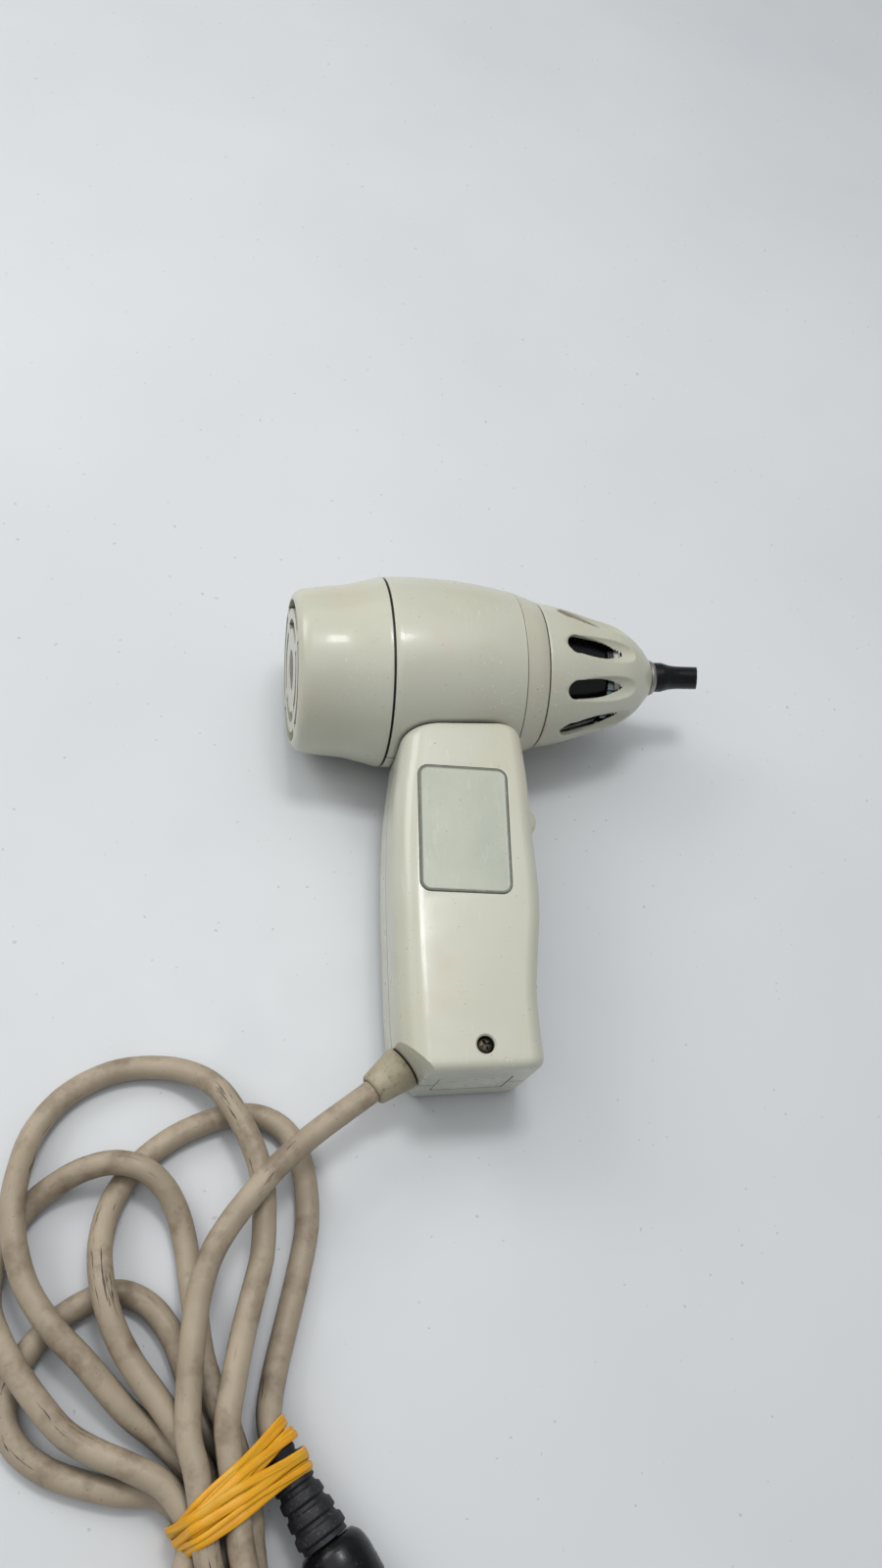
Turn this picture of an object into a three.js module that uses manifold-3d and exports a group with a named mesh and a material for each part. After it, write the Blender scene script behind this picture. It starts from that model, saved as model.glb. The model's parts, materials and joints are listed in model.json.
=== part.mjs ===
// A dental light-curing hand tool with its lead: a round barrel with a rear intake, a vented
// nose, a short black light guide and a hand grip. It lies on its side. Millimetres, +Z up.
import * as THREE from 'three';
import * as BufferGeometryUtils from 'three/addons/utils/BufferGeometryUtils.js';
import Module from 'manifold-3d';

const wasm = await Module();
wasm.setup();

// ---------------------------------------------------------------- driving dimensions
// The tool's own frame: X runs along the barrel to the nose, Y away from the grip, Z through
// the grip's thickness. X = 0 is the seam between rear cap and barrel.
const GAP = 0.3;                  // between neighbouring pieces
const WALL = 2.3;                 // moulded housing walls
const BARREL_SIDES = 32;
const BARREL_RADIUS = 31.2;       // the fattest ring of the barrel
const BARREL = [[0.15, 31.0], [10, BARREL_RADIUS], [25, 30.4], [34, 29.1], [42.7, 27.4]];
const CAP_BACK = -28.6;           // the flat face with the intake slots
const SEAM_A = 42.9;              // barrel to front collar
const SEAM_B = 51;                // front collar to nose cone
const NOSE_TIP = 92.3;
const GUIDE_OFFSET = 0.4;         // the light guide sits a little high in its ring
const GRIP_THICK = 36;
const GRIP_TOP = -26.7;
const GRIP_BOTTOM = -134.2;
const REAR_ROUND = 8;             // the grip's long edges, palm side
const FRONT_ROUND = 4.8;          // and finger side
const TILT = THREE.MathUtils.degToRad(5.67);   // the grip's end comes down to the surface
const REST_HEIGHT = 31.06;        // of the barrel's axis
const TOOL_AT = [-41.77, 53.4];   // where the tool's frame sits in the row frame
const LEAD_AT = [0.23, 1.3];       // and the frame that the lead's route is given in
const TRIGGER_Y = -55;            // middle of the trigger
const BOOT_ROOT = [-1.7, -128.5]; // where the strain relief leaves the grip
const BOOT_WAY = [-0.828, -0.561];
const BOOT_LENGTH = 10.8;
const CORD = 6.6;                 // diameter of the lead
const BOARD_Z = -8;               // the timer board's plane in the grip

// The tie around the wound lead, in the lead's frame: its middle, and its way along the strands.
const TIE_AT = [-99, -170.5];
const TIE_TURN = THREE.MathUtils.degToRad(28);
const PLUG_HEIGHT = 10.6;         // the connector's axis above the surface

// ---------------------------------------------------------------- finishes
const finish = (color, roughness, metalness = 0) => ({ color, roughness, metalness });
const IVORY = finish(0xe6e0cf, 0.38);
const IVORY_DARK = finish(0xd9d1bd, 0.42);
const BLACK = finish(0x17181b, 0.35);
const RUBBER = finish(0x22222a, 0.7);
const BEIGE = finish(0xb5ab97, 0.55);
const STEEL = finish(0xb9bcc0, 0.3, 1);
const ALUMINIUM = finish(0xc9ccd0, 0.35, 1);
const BRASS = finish(0xc8a24a, 0.35, 1);
const GLASS = finish(0xcfe4ea, 0.08);
const MIRROR = finish(0xd9d3e6, 0.12, 1);
const CERAMIC = finish(0xe9e4da, 0.6);
const BOARD = finish(0x2f6b45, 0.55);
const PLATE = finish(0xa9b3a4, 0.45);
const BAND = finish(0xe2a821, 0.5);

// ---------------------------------------------------------------- solids and meshes
const tool = new THREE.Group();
const bench = new THREE.Group();
const object = new THREE.Group();
object.add(tool, bench);
tool.rotation.x = TILT;
tool.position.set(...TOOL_AT, REST_HEIGHT);
bench.position.set(...LEAD_AT, 0);

function solid(geometry) {
  const bare = geometry.clone();
  bare.deleteAttribute('normal');
  bare.deleteAttribute('uv');
  const merged = BufferGeometryUtils.mergeVertices(bare, 1e-4);
  return new wasm.Manifold(new wasm.Mesh({
    numProp: 3,
    vertProperties: new Float32Array(merged.attributes.position.array),
    triVerts: new Uint32Array(merged.index.array),
  }));
}

function geometryOf(manifold) {
  const data = manifold.getMesh();
  const geometry = new THREE.BufferGeometry();
  geometry.setAttribute('position', new THREE.BufferAttribute(data.vertProperties, 3));
  geometry.setIndex(new THREE.BufferAttribute(data.triVerts, 1));
  return geometry;
}

function add(name, shape, look, parent = tool) {
  const geometry = shape instanceof THREE.BufferGeometry ? shape : geometryOf(shape);
  const mesh = new THREE.Mesh(geometry, new THREE.MeshStandardMaterial(look));
  mesh.name = name;
  parent.add(mesh);
  return mesh;
}

// A solid of revolution about X from [x, radius] points that start and end on the axis.
function turned(points, sides = BARREL_SIDES) {
  const profile = points.map(([x, radius]) => new THREE.Vector2(radius, x));
  return new THREE.LatheGeometry(profile, sides).rotateZ(-Math.PI / 2);
}

// A ring about X: its [x, radius] outline closes on itself.
const ring = (points, sides) => turned([...points, points[0]], sides);

// A plain round bar along X between two places.
const rod = (from, to, radius, sides = 24) => (
  turned([[from, 0], [from, radius], [to, radius], [to, 0]], sides));

// A round bar through a point along Z.
function pillar(x, y, low, high, radius, sides = 16) {
  return new THREE.CylinderGeometry(radius, radius, high - low, sides)
    .rotateX(Math.PI / 2)
    .translate(x, y, (low + high) / 2);
}

const block = (size, at) => new THREE.BoxGeometry(...size).translate(...at);

// A slab with rounded upright edges, standing on Z = 0 and centred on the Z axis.
function roundedSlab(width, height, radius, depth, { corner = 4, steps = 1 } = {}) {
  const x = width / 2 - radius;
  const y = height / 2 - radius;
  const shape = new THREE.Shape();
  shape.absarc(x, -y, radius, -Math.PI / 2, 0);
  shape.absarc(x, y, radius, 0, Math.PI / 2);
  shape.absarc(-x, y, radius, Math.PI / 2, Math.PI);
  shape.absarc(-x, -y, radius, Math.PI, Math.PI * 1.5);
  return new THREE.ExtrudeGeometry(shape, { depth, steps, bevelEnabled: false, curveSegments: corner });
}

// A slot between two radii about X, spanning an angle, cut along X.
function arcSlot(inner, outer, start, end, from, to) {
  const shape = new THREE.Shape();
  shape.absarc(0, 0, outer, start, end, false);
  shape.absarc(0, 0, inner, end, start, true);
  return new THREE.ExtrudeGeometry(shape, { depth: to - from, bevelEnabled: false, curveSegments: 5 })
    .rotateY(Math.PI / 2)
    .translate(from, 0, 0);
}

// ---------------------------------------------------------------- the grip's form
// Rear and front edges of the grip, seen from its side, as [y, x].
const vector = ([a, b]) => new THREE.Vector2(a, b);
const GRIP_REAR = new THREE.SplineCurve([
  [-20, 4.5], [-33, 2.6], [-50, -0.6], [-73, -2.9], [-97, -4.1], [-115, -4.7], [-135, -4.8],
].map(vector)).getPoints(90);
const GRIP_FRONT = new THREE.SplineCurve([
  [-20, 40.4], [-33, 40.7], [-46, 41], [-62, 40.6], [-80, 40.4], [-89, 39.7], [-98, 38.2], [-106, 36.9],
  [-114, 35.9], [-135, 35.8],
].map(vector)).getPoints(90);

function edgeAt(points, y) {
  const next = Math.max(1, points.findIndex((p) => p.x <= y));
  const [a, b] = [points[next - 1], points[next]];
  return a.y + (b.y - a.y) * (y - a.x) / (b.x - a.x);
}

// The grip's solid, inset by a wall. A prism on a rounded square, with a corner radius of 1
// about corners at 2, is carried down the handle: each corner's turn is kept round and each
// corner goes to the handle's edge. Each station is [y, how far the section is drawn in].
function gripSolid(inset, stations) {
  const halfThick = GRIP_THICK / 2 - inset;
  const steps = stations.length - 1;
  const prism = roundedSlab(6, 6, 1, steps, { corner: 4, steps });
  const place = prism.attributes.position;
  for (let i = 0; i < place.count; i += 1) {
    const [y, drawn] = stations[Math.round(place.getZ(i))];
    const rear = edgeAt(GRIP_REAR, y) + inset;
    const front = edgeAt(GRIP_FRONT, y) - inset;
    const sideX = Math.sign(place.getX(i));
    const sideZ = Math.sign(place.getY(i));
    const round = (sideX > 0 ? FRONT_ROUND : REAR_ROUND) - inset;
    const turnX = (place.getX(i) - 2 * sideX) * round;
    const turnZ = (place.getY(i) - 2 * sideZ) * round;
    const x = (front + rear) / 2 + sideX * ((front - rear) / 2 - drawn - round) + turnX;
    const z = sideZ * (halfThick - drawn - round) + turnZ;
    place.setXYZ(i, x, y, z);
  }
  return prism;
}

// ---------------------------------------------------------------- housing
const RIGHT = 1;                  // the half that faces up when the tool lies down
const LEFT = -1;
const BOSSES = [[18.5, -127.2], [9.5, -49], [9.5, -76]];
const BOSS_RADIUS = 3.6;
const SCREW_HOLE = 1.5;
const HEAD_HOLE = 3;
const HEAD_SEAT = GRIP_THICK / 2 - 3.2;
const HANDLE = [-29.3, -45, -58, -72, -86, -100, -114, -128];

// What is beyond the flat that cuts off the grip's lower rear corner, or its inner face.
function cornerBlock(inset) {
  return solid(block([20, 40, 60], [inset - 10, 0, 0])
    .rotateZ(Math.atan2(-BOOT_WAY[1], -BOOT_WAY[0]))
    .translate(BOOT_ROOT[0], BOOT_ROOT[1], 0));
}

// From a shape about X to its place about the lead, where it goes through the housing.
function onLead(geometry) {
  return geometry
    .rotateZ(Math.atan2(BOOT_WAY[1], BOOT_WAY[0]))
    .translate(BOOT_ROOT[0], BOOT_ROOT[1], 0);
}

function housingBody() {
  const outer = [
    [GRIP_TOP, 1.6], [GRIP_TOP - 0.9, 0.5], ...HANDLE.map((y) => [y, 0]),
    [-131.6, 0], [-133.4, 0.8], [GRIP_BOTTOM, 2.2],
  ];
  const inner = [GRIP_TOP - 2.6, ...HANDLE.slice(1), GRIP_BOTTOM + 2.4].map((y) => [y, 0]);
  const barrel = solid(turned([[BARREL[0][0], 0], ...BARREL, [SEAM_A - 0.2, 0]]));
  const grip = solid(gripSolid(0, outer));
  const hollow = BARREL.map(([x, radius]) => [x, radius - WALL]);
  const bore = solid(turned([[-1, 0], [-1, hollow[0][1]], ...hollow.slice(1, -1), [44, 25.1], [44, 0]]));
  const cavity = solid(gripSolid(WALL, inner)).subtract(cornerBlock(WALL));
  const neck = solid(block([30, 16, 20], [21, -28, 0]));
  return barrel.add(grip).subtract(bore).subtract(cavity).subtract(neck);
}

function housingHalf(body, side) {
  let half = body;
  for (const [x, y] of BOSSES) {
    half = half.add(solid(pillar(x, y, side > 0 ? 2 : -17, side > 0 ? 17 : -2, BOSS_RADIUS)));
  }
  const far = side > 0 ? [-90, GAP / 2] : [-GAP / 2, 90];
  const depth = far[1] - far[0];
  half = half.subtract(solid(block([120, 260, depth], [20, -60, (far[0] + far[1]) / 2])));
  for (const [x, y] of BOSSES) {
    half = half.subtract(solid(pillar(x, y, side > 0 ? -1 : -13, side > 0 ? 20 : 1, SCREW_HOLE, 12)));
    if (side > 0) half = half.subtract(solid(pillar(x, y, HEAD_SEAT, 20, HEAD_HOLE)));
  }
  return half;
}

function housing() {
  const trigger = solid(block([14, 13.4, 13], [41, TRIGGER_Y, 0]));
  const lead = solid(onLead(rod(-20, 20, 5))).add(solid(onLead(rod(-5.8, -WALL - 0.3, 6.3))));
  const label = solid(labelSlab(0.35, 4).translate(0, 0, LABEL_SEAT));
  const sticker = solid(block([21.6, 1.4, 14.6], [STICKER_X, GRIP_BOTTOM, 0]));
  const body = housingBody().subtract(sticker).subtract(trigger).subtract(cornerBlock(0)).subtract(lead);
  add('housing_right', housingHalf(body, RIGHT).subtract(label), IVORY);
  add('housing_left', housingHalf(body, LEFT), IVORY);
}

// ---------------------------------------------------------------- label, sticker and screws
const LABEL_SEAT = GRIP_THICK / 2 - 0.6;
const LABEL_AT = [18.7, -62.6];
const LABEL_SIZE = [27.2, 40];
const LABEL_TURN = THREE.MathUtils.degToRad(-3.6);
const STICKER_SIZE = [21, 0.3, 14];
const STICKER_X = 17.5;

function labelSlab(margin, thick) {
  return roundedSlab(LABEL_SIZE[0] + 2 * margin, LABEL_SIZE[1] + 2 * margin, 3 + margin, thick)
    .rotateZ(LABEL_TURN)
    .translate(LABEL_AT[0], LABEL_AT[1], 0);
}

function screw(name, [x, y]) {
  const profile = [[0, 0], [0, 1.15], [27, 1.15], [27, 2.7], [28.2, 2.7], [29, 1.9], [29, 0]];
  const body = solid(turned(profile, 20)
    .rotateY(-Math.PI / 2)
    .translate(x, y, HEAD_SEAT + GAP - 27));
  const slots = [[0.8, 3.2], [3.2, 0.8]].map(([a, b]) => solid(block([a, b, 2.4], [x, y, HEAD_SEAT + 2.4])));
  add(name, body.subtract(slots[0]).subtract(slots[1]), STEEL);
}

function trim() {
  add('label_plate', labelSlab(0, 0.8).translate(0, 0, LABEL_SEAT + 0.1), PLATE);
  add('rating_sticker', block(STICKER_SIZE, [STICKER_X, GRIP_BOTTOM + 0.2, 0]), finish(0xd9d6c4, 0.5));
  BOSSES.forEach((at, i) => screw(`housing_screw_${i + 1}`, at));
}

// ---------------------------------------------------------------- rear cap and fan
function rearCap() {
  const face = CAP_BACK;
  const body = solid(ring([
    [face, 1], [face, 23.4], [-27.6, 25.2], [-25.2, 26.4], [-14, 27.6], [-GAP / 2, 30.9],
    [-GAP / 2, 28.3], [4, 28.3], [4, 26.8], [-25, 24.2], [-26.6, 22.4], [-26.6, 1],
  ]));
  const rings = [[19.8, 22.8], [13.5, 16.5]];
  const spoke = 3.3;
  let cap = body;
  for (const [inner, outer] of rings) {
    const half = Math.asin(spoke / 2 / ((inner + outer) / 2));
    for (let i = 0; i < 4; i += 1) {
      const start = i * Math.PI / 2 + half;
      const end = (i + 1) * Math.PI / 2 - half;
      cap = cap.subtract(solid(arcSlot(inner, outer, start, end, face - 1, -25.5)));
    }
  }
  cap = cap.subtract(solid(rod(face - 1, face + 1.3, 6.5, 32)));
  cap = cap.subtract(solid(rod(face - 1, -25, 5.2, 32)));
  add('rear_cap', cap, IVORY);
  add('intake_mesh', rod(face + 0.1, face + 1, 6.2, 32), finish(0xb9a9a4, 0.8));
}

function fan() {
  const hub = solid(turned([[-23.6, 0], [-23.6, 5.5], [-22.8, 6.5], [-17.5, 6.5], [-17.5, 0]], 24));
  let rotor = hub;
  const blades = 6;
  for (let i = 0; i < blades; i += 1) {
    const blade = block([1.2, 9.5, 14.5], [0, 0, 12.4])
      .rotateZ(THREE.MathUtils.degToRad(52))
      .translate(-20.4, 0, 0)
      .rotateX(i * 2 * Math.PI / blades);
    rotor = rotor.add(solid(blade));
  }
  rotor = rotor.subtract(solid(rod(-22, -16, 1.4, 16)));
  add('fan_rotor', rotor, BLACK);
  const shaft = solid(rod(-21.6, -10, 1.05, 16));
  const can = solid(turned([[-15.5, 0], [-15.5, 3], [-15, 10], [4, 10], [4, 0]], 32));
  add('fan_motor', can.add(shaft), STEEL);
  fanBracket();
}

function fanBracket() {
  const plate = solid(ring([[4.4, 24], [4.4, 27.6], [6, 27.6], [6, 24]], 32));
  let bracket = plate.add(solid(ring([[-2, 10.4], [-2, 12], [6, 12], [6, 10.4]], 24)));
  for (let i = 0; i < 3; i += 1) {
    bracket = bracket.add(solid(block([1.6, 4, 14], [5.2, 0, 18]).rotateX((i * 2 + 1) * Math.PI / 3)));
  }
  add('fan_bracket', bracket, ALUMINIUM);
}

// ---------------------------------------------------------------- lamp and light path
function lamp() {
  const wall = 1.2;
  const bowl = [[34.5, 7], [37.5, 11.5], [43, 16], [51.5, 19.6]];
  const inside = bowl.slice(1).map(([x, radius]) => [x + 0.9, radius - wall]).reverse();
  add('lamp_reflector', ring([
    [28, 4.8], [28, 7], ...bowl, [55.6, 20.4], [55.6, 19.4], ...inside, [35.4, 4.8],
  ], 28), MIRROR);
  add('lamp_capsule', turned([
    [26.4, 0], [26.4, 4.2], [36, 4.2], [38, 5], [44, 5], [48, 2.8], [49, 0],
  ], 16), GLASS);
  add('lamp_socket', block([9, 14, 12], [21.6, 0, 0]), CERAMIC);
  const bridge = solid(ring([[14.4, 22.8], [14.4, 26.4], [16, 26.4], [16, 22.8]]));
  const bar = solid(block([1.6, 48, 16], [15.2, 0, 0]));
  add('lamp_bracket', bridge.add(bar), ALUMINIUM);
}

function frontCollar() {
  add('front_collar', ring([
    [SEAM_A, 27.3], [SEAM_B - 0.2, 24.5], [SEAM_B - 0.2, 22.6], [38, 22.6], [38, 24.4], [SEAM_A, 24.4],
  ]), IVORY_DARK);
}

// A teardrop, wide and round at its rear, drawn to a point at its front.
function teardrop(length, radius, depth) {
  const shape = new THREE.Shape();
  const start = Math.PI * 0.42;
  shape.absarc(0, 0, radius, start, 2 * Math.PI - start, false);
  shape.quadraticCurveTo(length * 0.55, -radius * 0.75, length, 0);
  shape.quadraticCurveTo(length * 0.55, radius * 0.75, radius * Math.cos(start), radius * Math.sin(start));
  return new THREE.ExtrudeGeometry(shape, { depth, bevelEnabled: false, curveSegments: 4 });
}

const VENTS = 9;
const VENT_START = THREE.MathUtils.degToRad(1);

function noseCone() {
  const from = SEAM_B + 0.1;
  let cone = solid(ring([
    [from, 24.4], [60, 22.7], [70, 19.9], [76, 18.3], [80.5, 16.7], [84.5, 14.3], [87.6, 11.8], [90, 9.2],
    [NOSE_TIP, 6.4], [NOSE_TIP, 5.95], [86.6, 5.95], [83.6, 11.4], [79, 15.1], [70, 17.9], [60, 20.7],
    [57, 21.6], [57, 22.2], [from, 22.2],
  ]));
  for (let i = 0; i < VENTS; i += 1) {
    const turn = VENT_START + i * 2 * Math.PI / VENTS;
    const slot = teardrop(15.1, 3.3, 12).translate(61.2, 0, 12).rotateX(turn);
    const flute = new THREE.SphereGeometry(1, 8, 6)
      .scale(15, 3.6, 2.6)
      .rotateY(THREE.MathUtils.degToRad(18))
      .translate(68.5, 0, 21.2)
      .rotateX(turn);
    cone = cone.subtract(solid(flute)).subtract(solid(slot));
  }
  add('nose_cone', cone, IVORY);
}

function lightPath() {
  add('heat_filter', rod(73.4, 75.4, 15.6, 32), GLASS);
  add('filter_seat', ring([[75.8, 12.2], [75.8, 15.2], [77.6, 15.2], [77.6, 12.2]], 32), ALUMINIUM);
  add('nose_ring', ring([
    [82, 5.05], [82, 5.6], [NOSE_TIP + 0.3, 5.6], [NOSE_TIP + 0.3, 6], [93.6, 6], [94.4, 5.5], [94.4, 5.05],
  ], 28), ALUMINIUM);
  const outside = solid(turned([
    [81, 0], [81, 4.2], [94.8, 4.2], [94.8, 5], [97.6, 5], [100, 4.3], [103, 3.9], [113, 3.85], [113, 0],
  ], 28));
  const guide = outside.subtract(solid(rod(79, 115, 3.1))).subtract(slant(110.9));
  add('light_guide', geometryOf(guide).translate(0, GUIDE_OFFSET, 0), BLACK);
  const core = solid(rod(80.4, 114, 2.8)).subtract(slant(110.5));
  add('guide_core', geometryOf(core).translate(0, GUIDE_OFFSET, 0), GLASS);
}

// What is beyond the light guide's end, which is cut on a slant.
function slant(x) {
  return solid(block([20, 40, 40], [10, 0, 0])
    .rotateY(THREE.MathUtils.degToRad(-18))
    .rotateX(THREE.MathUtils.degToRad(30))
    .translate(x, 0, 0));
}

// ---------------------------------------------------------------- trigger and switch
const TRIGGER_TRAVEL = 2.5;
const FLANGE_BACK = 35.4;
const STEM = 3.4;
const SWITCH_FRONT = FLANGE_BACK - STEM - TRIGGER_TRAVEL - 0.4;

function trigger() {
  const shape = new THREE.Shape();
  shape.moveTo(36.8, -6.2);
  shape.lineTo(41.2, -6.2);
  shape.quadraticCurveTo(49.4, 0, 41.2, 6.2);
  shape.lineTo(36.8, 6.2);
  shape.closePath();
  const pad = new THREE.ExtrudeGeometry(shape, {
    depth: 9.6, bevelSize: 1.2, bevelThickness: 1.2, bevelOffset: -1.2, bevelSegments: 3, curveSegments: 10,
  }).translate(0, TRIGGER_Y, -4.8);
  const flange = block([2.2, 17, 16], [FLANGE_BACK + 1.1, TRIGGER_Y, 0]);
  const stem = rod(FLANGE_BACK - STEM, FLANGE_BACK + 0.5, 1.7, 16).translate(0, TRIGGER_Y, 0);
  add('trigger', solid(pad).add(solid(flange)).add(solid(stem)), IVORY_DARK);
}

// A round wire wound about X between two places, its ends inside the last turns.
function spring(from, to, radius, wire, turns) {
  class Helix extends THREE.Curve {
    getPoint(t, target = new THREE.Vector3()) {
      const angle = t * turns * 2 * Math.PI;
      return target.set(from + (to - from) * t, radius * Math.cos(angle), radius * Math.sin(angle));
    }
  }
  const section = new THREE.Shape().absarc(0, 0, wire / 2, 0, 2 * Math.PI);
  return new THREE.ExtrudeGeometry(section, {
    steps: turns * 9, extrudePath: new Helix(), curveSegments: 3, bevelEnabled: false,
  });
}

function switchGear() {
  const wire = 0.8;
  const from = SWITCH_FRONT + wire / 2 + GAP;
  const to = FLANGE_BACK - wire / 2 - GAP;
  add('trigger_spring', spring(from, to, 3.3, wire, 3).translate(0, TRIGGER_Y, 0), STEEL);
  add('trigger_switch', block([10, 14, 12], [SWITCH_FRONT - 5, TRIGGER_Y, 0]), BLACK);
}

// ---------------------------------------------------------------- electrics in the grip
function electrics() {
  const board = solid(block([28, 44, 1.6], [17.5, -101, BOARD_Z]));
  const holes = BOSSES.map(([x, y]) => solid(pillar(x, y, -20, 20, BOSS_RADIUS + 0.6)));
  add('timer_board', holes.reduce((plate, hole) => plate.subtract(hole), board), BOARD);
  add('timer_relay', block([12, 16, 11], [25, -98, BOARD_Z + 6.6]), finish(0x2b4f8e, 0.5));
  add('sounder', rod(0, 7, 5.5, 24).rotateY(-Math.PI / 2).translate(25, -114, BOARD_Z + 1.1), BLACK);
  add('terminal_block', block([8, 20, 9], [10, -104, BOARD_Z + 5.6]), finish(0x3f7d4e, 0.5));
  add('lead_clamp', clamp(), BLACK);
}

// Grips the lead's sheath behind the strain relief.
function clamp() {
  const along = Math.atan2(-BOOT_WAY[1], -BOOT_WAY[0]);
  const body = solid(block([5, 16, 12], [0, 0, 0]));
  const hole = solid(rod(-6, 6, CORD / 2 + 0.5, 20));
  return geometryOf(body.subtract(hole))
    .rotateZ(along)
    .translate(BOOT_ROOT[0] - 11 * BOOT_WAY[0], BOOT_ROOT[1] - 11 * BOOT_WAY[1], 0);
}

// ---------------------------------------------------------------- strain relief
function strainRelief() {
  const hole = CORD / 2 + GAP;
  const profile = [
    [-5.4, hole], [-5.4, 5.9], [-2.9, 5.9], [-2.9, 4.7], [GAP, 4.7], [GAP, 6.4], [1.6, 6.4],
    [BOOT_LENGTH, 4.8], [BOOT_LENGTH + 0.6, 4.4], [BOOT_LENGTH + 0.6, hole],
  ];
  add('strain_relief', onLead(ring(profile, 20)), BEIGE);
}

// ---------------------------------------------------------------- the lead
// Routes in the lead's frame, chosen by hand: along the surface, over each other in low humps,
// and into the tie. The lowest strands have their middle at 3.5, the next at 10.6 and 17.6.
const LEAD = [
  [-53.6, -82.5, 17.7], [-61, -87.3, 17.9], [-71, -93.9, 17.9], [-80, -101, 17.8], [-88, -109, 17.7],
  [-94, -116, 17.7], [-98.5, -123, 17.7], [-101.4, -131, 17.7], [-103.2, -141, 17.7], [-104.3, -152, 17.6],
  [-104.6, -164.4, 17.6],
];
const LOOP_A = [
  [-109, -167.8, 4.9], [-113, -163.3, 5], [-119, -157, 6.4], [-130, -144.6, 10], [-138, -136, 10.6],
  [-144.5, -126, 10.6], [-148, -115, 10.6], [-149, -105, 10.6], [-148, -96, 8.5], [-145, -85, 5],
  [-137, -75, 3.5], [-125, -69, 3.5], [-114, -68, 3.8], [-104, -70.6, 6.4], [-96.4, -76, 9.6], [-90.6, -84.6, 10.8],
  [-86, -95, 10.6], [-84, -104, 10.6], [-84, -113, 10.6], [-85, -123, 10.9], [-88, -133, 12.4],
  [-91, -143, 14.6], [-93.5, -153, 17], [-95.4, -163, 17.7],
];
const LOOP_B = [
  [-105, -165.4, 10.6], [-108.6, -160, 10.6], [-113, -153.5, 10.6], [-118, -146.5, 10.6], [-123, -137, 10.6],
  [-126, -126, 10.6], [-126.6, -116, 8], [-124, -105, 4.6], [-118, -96, 3.5], [-109, -89, 3.5],
  [-100, -85, 3.5], [-91, -83, 3.5], [-83, -84, 3.5], [-76.5, -88.5, 3.5], [-73, -96, 3.5],
  [-71.6, -105, 3.5], [-72, -115, 3.5], [-75, -127, 3.5], [-79, -140, 3.6], [-83, -151.5, 5.4], [-86.4, -161.5, 9],
  [-83.6, -168.3, PLUG_HEIGHT],
];
const LOOP_C = [
  [-111.4, -173, 10.7], [-118, -169.4, 10.6], [-127, -165, 10.6], [-134, -160.4, 10.6], [-140.5, -153, 10.6],
  [-146, -145.5, 10.4], [-150.5, -138, 8.6], [-154, -129.5, 5.2], [-154, -121, 3.5], [-151, -112, 3.5],
  [-146, -105, 3.5], [-140, -100.4, 4.8], [-132, -97, 8.2], [-123.5, -96, 10.6], [-116, -98, 10.6],
  [-110.6, -102.4, 8.2], [-106.8, -109, 5], [-104.6, -118, 4], [-103.5, -127, 6.6], [-102.4, -136, 10],
  [-100.8, -147, 10.7], [-97.6, -156.5, 10.7], [-94.8, -163, 10.7],
];
const LOOP_D = [
  [-114.4, -177.7, 4.8], [-122, -174.2, 3.7], [-131, -171, 3.5], [-139, -167.4, 3.5], [-145.6, -162, 3.5],
  [-149, -155, 3.5], [-147, -145.6, 3.5], [-141, -137, 3.5], [-132, -130.6, 3.5], [-122, -128, 3.5],
  [-114.4, -131.6, 3.5], [-108.6, -139, 3.5], [-105, -148, 3.5], [-102, -156.6, 4.1], [-99.8, -163.2, 4.7],
];

const point = ([x, y, z]) => new THREE.Vector3(x, y, z);

function cordPiece(name, route, steps) {
  const path = new THREE.CatmullRomCurve3(route.map(point), false, 'centripetal');
  const section = new THREE.Shape().absarc(0, 0, CORD / 2, 0, 2 * Math.PI);
  const geometry = new THREE.ExtrudeGeometry(section, {
    steps, extrudePath: path, curveSegments: 5, bevelEnabled: false,
  });
  add(name, geometry, BEIGE, bench);
}

// The strands past the tie and the loops beyond it, as one solid of their outer shape.
function hank() {
  const middle = [-99, -240];
  const radius = 31.6;
  const shape = new THREE.Shape();
  const waist = [
    [-106.4, -193], [-113.2, -180.6], [-111.8, -177], [-108, -171.6], [-104, -168.6], [-98, -166.6],
    [-91.6, -165.6], [-89.2, -167], [-88.6, -174], [-87.2, -190], [-86, -200], [-80, -212], [-70.6, -226],
  ];
  shape.moveTo(middle[0] + radius, middle[1]);
  shape.absarc(...middle, radius, 0, -Math.PI, true);
  shape.lineTo(-126, -222);
  shape.lineTo(-114, -207);
  waist.forEach(([x, y]) => shape.lineTo(x, y));
  shape.closePath();
  const geometry = new THREE.ExtrudeGeometry(shape, { depth: 19.2, bevelEnabled: false, curveSegments: 16 });
  add('lead_hank', geometry.translate(0, 0, 1.7), BEIGE, bench);
}

// A flat ring about the strands and the connector's tail.
function tie() {
  const inside = [[-17.8, 1.4], [20.6, 1.4], [20.6, 14.2], [12, 21.2], [-17.8, 21.2]];
  const thick = 1.1;
  const outside = [[-1, -1], [1, -1], [1, 0.4], [0.4, 1], [-1, 1]]
    .map(([a, b], i) => [inside[i][0] + a * thick, inside[i][1] + b * thick]);
  const shape = new THREE.Shape(outside.map(vector));
  shape.holes.push(new THREE.Path(inside.map(vector)));
  const width = 12;
  const geometry = new THREE.ExtrudeGeometry(shape, { depth: width, bevelEnabled: false })
    .rotateX(Math.PI / 2)
    .translate(0, -1.8, 0)
    .rotateZ(TIE_TURN)
    .translate(TIE_AT[0], TIE_AT[1], 0);
  add('lead_tie', geometry, BAND, bench);
}

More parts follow.
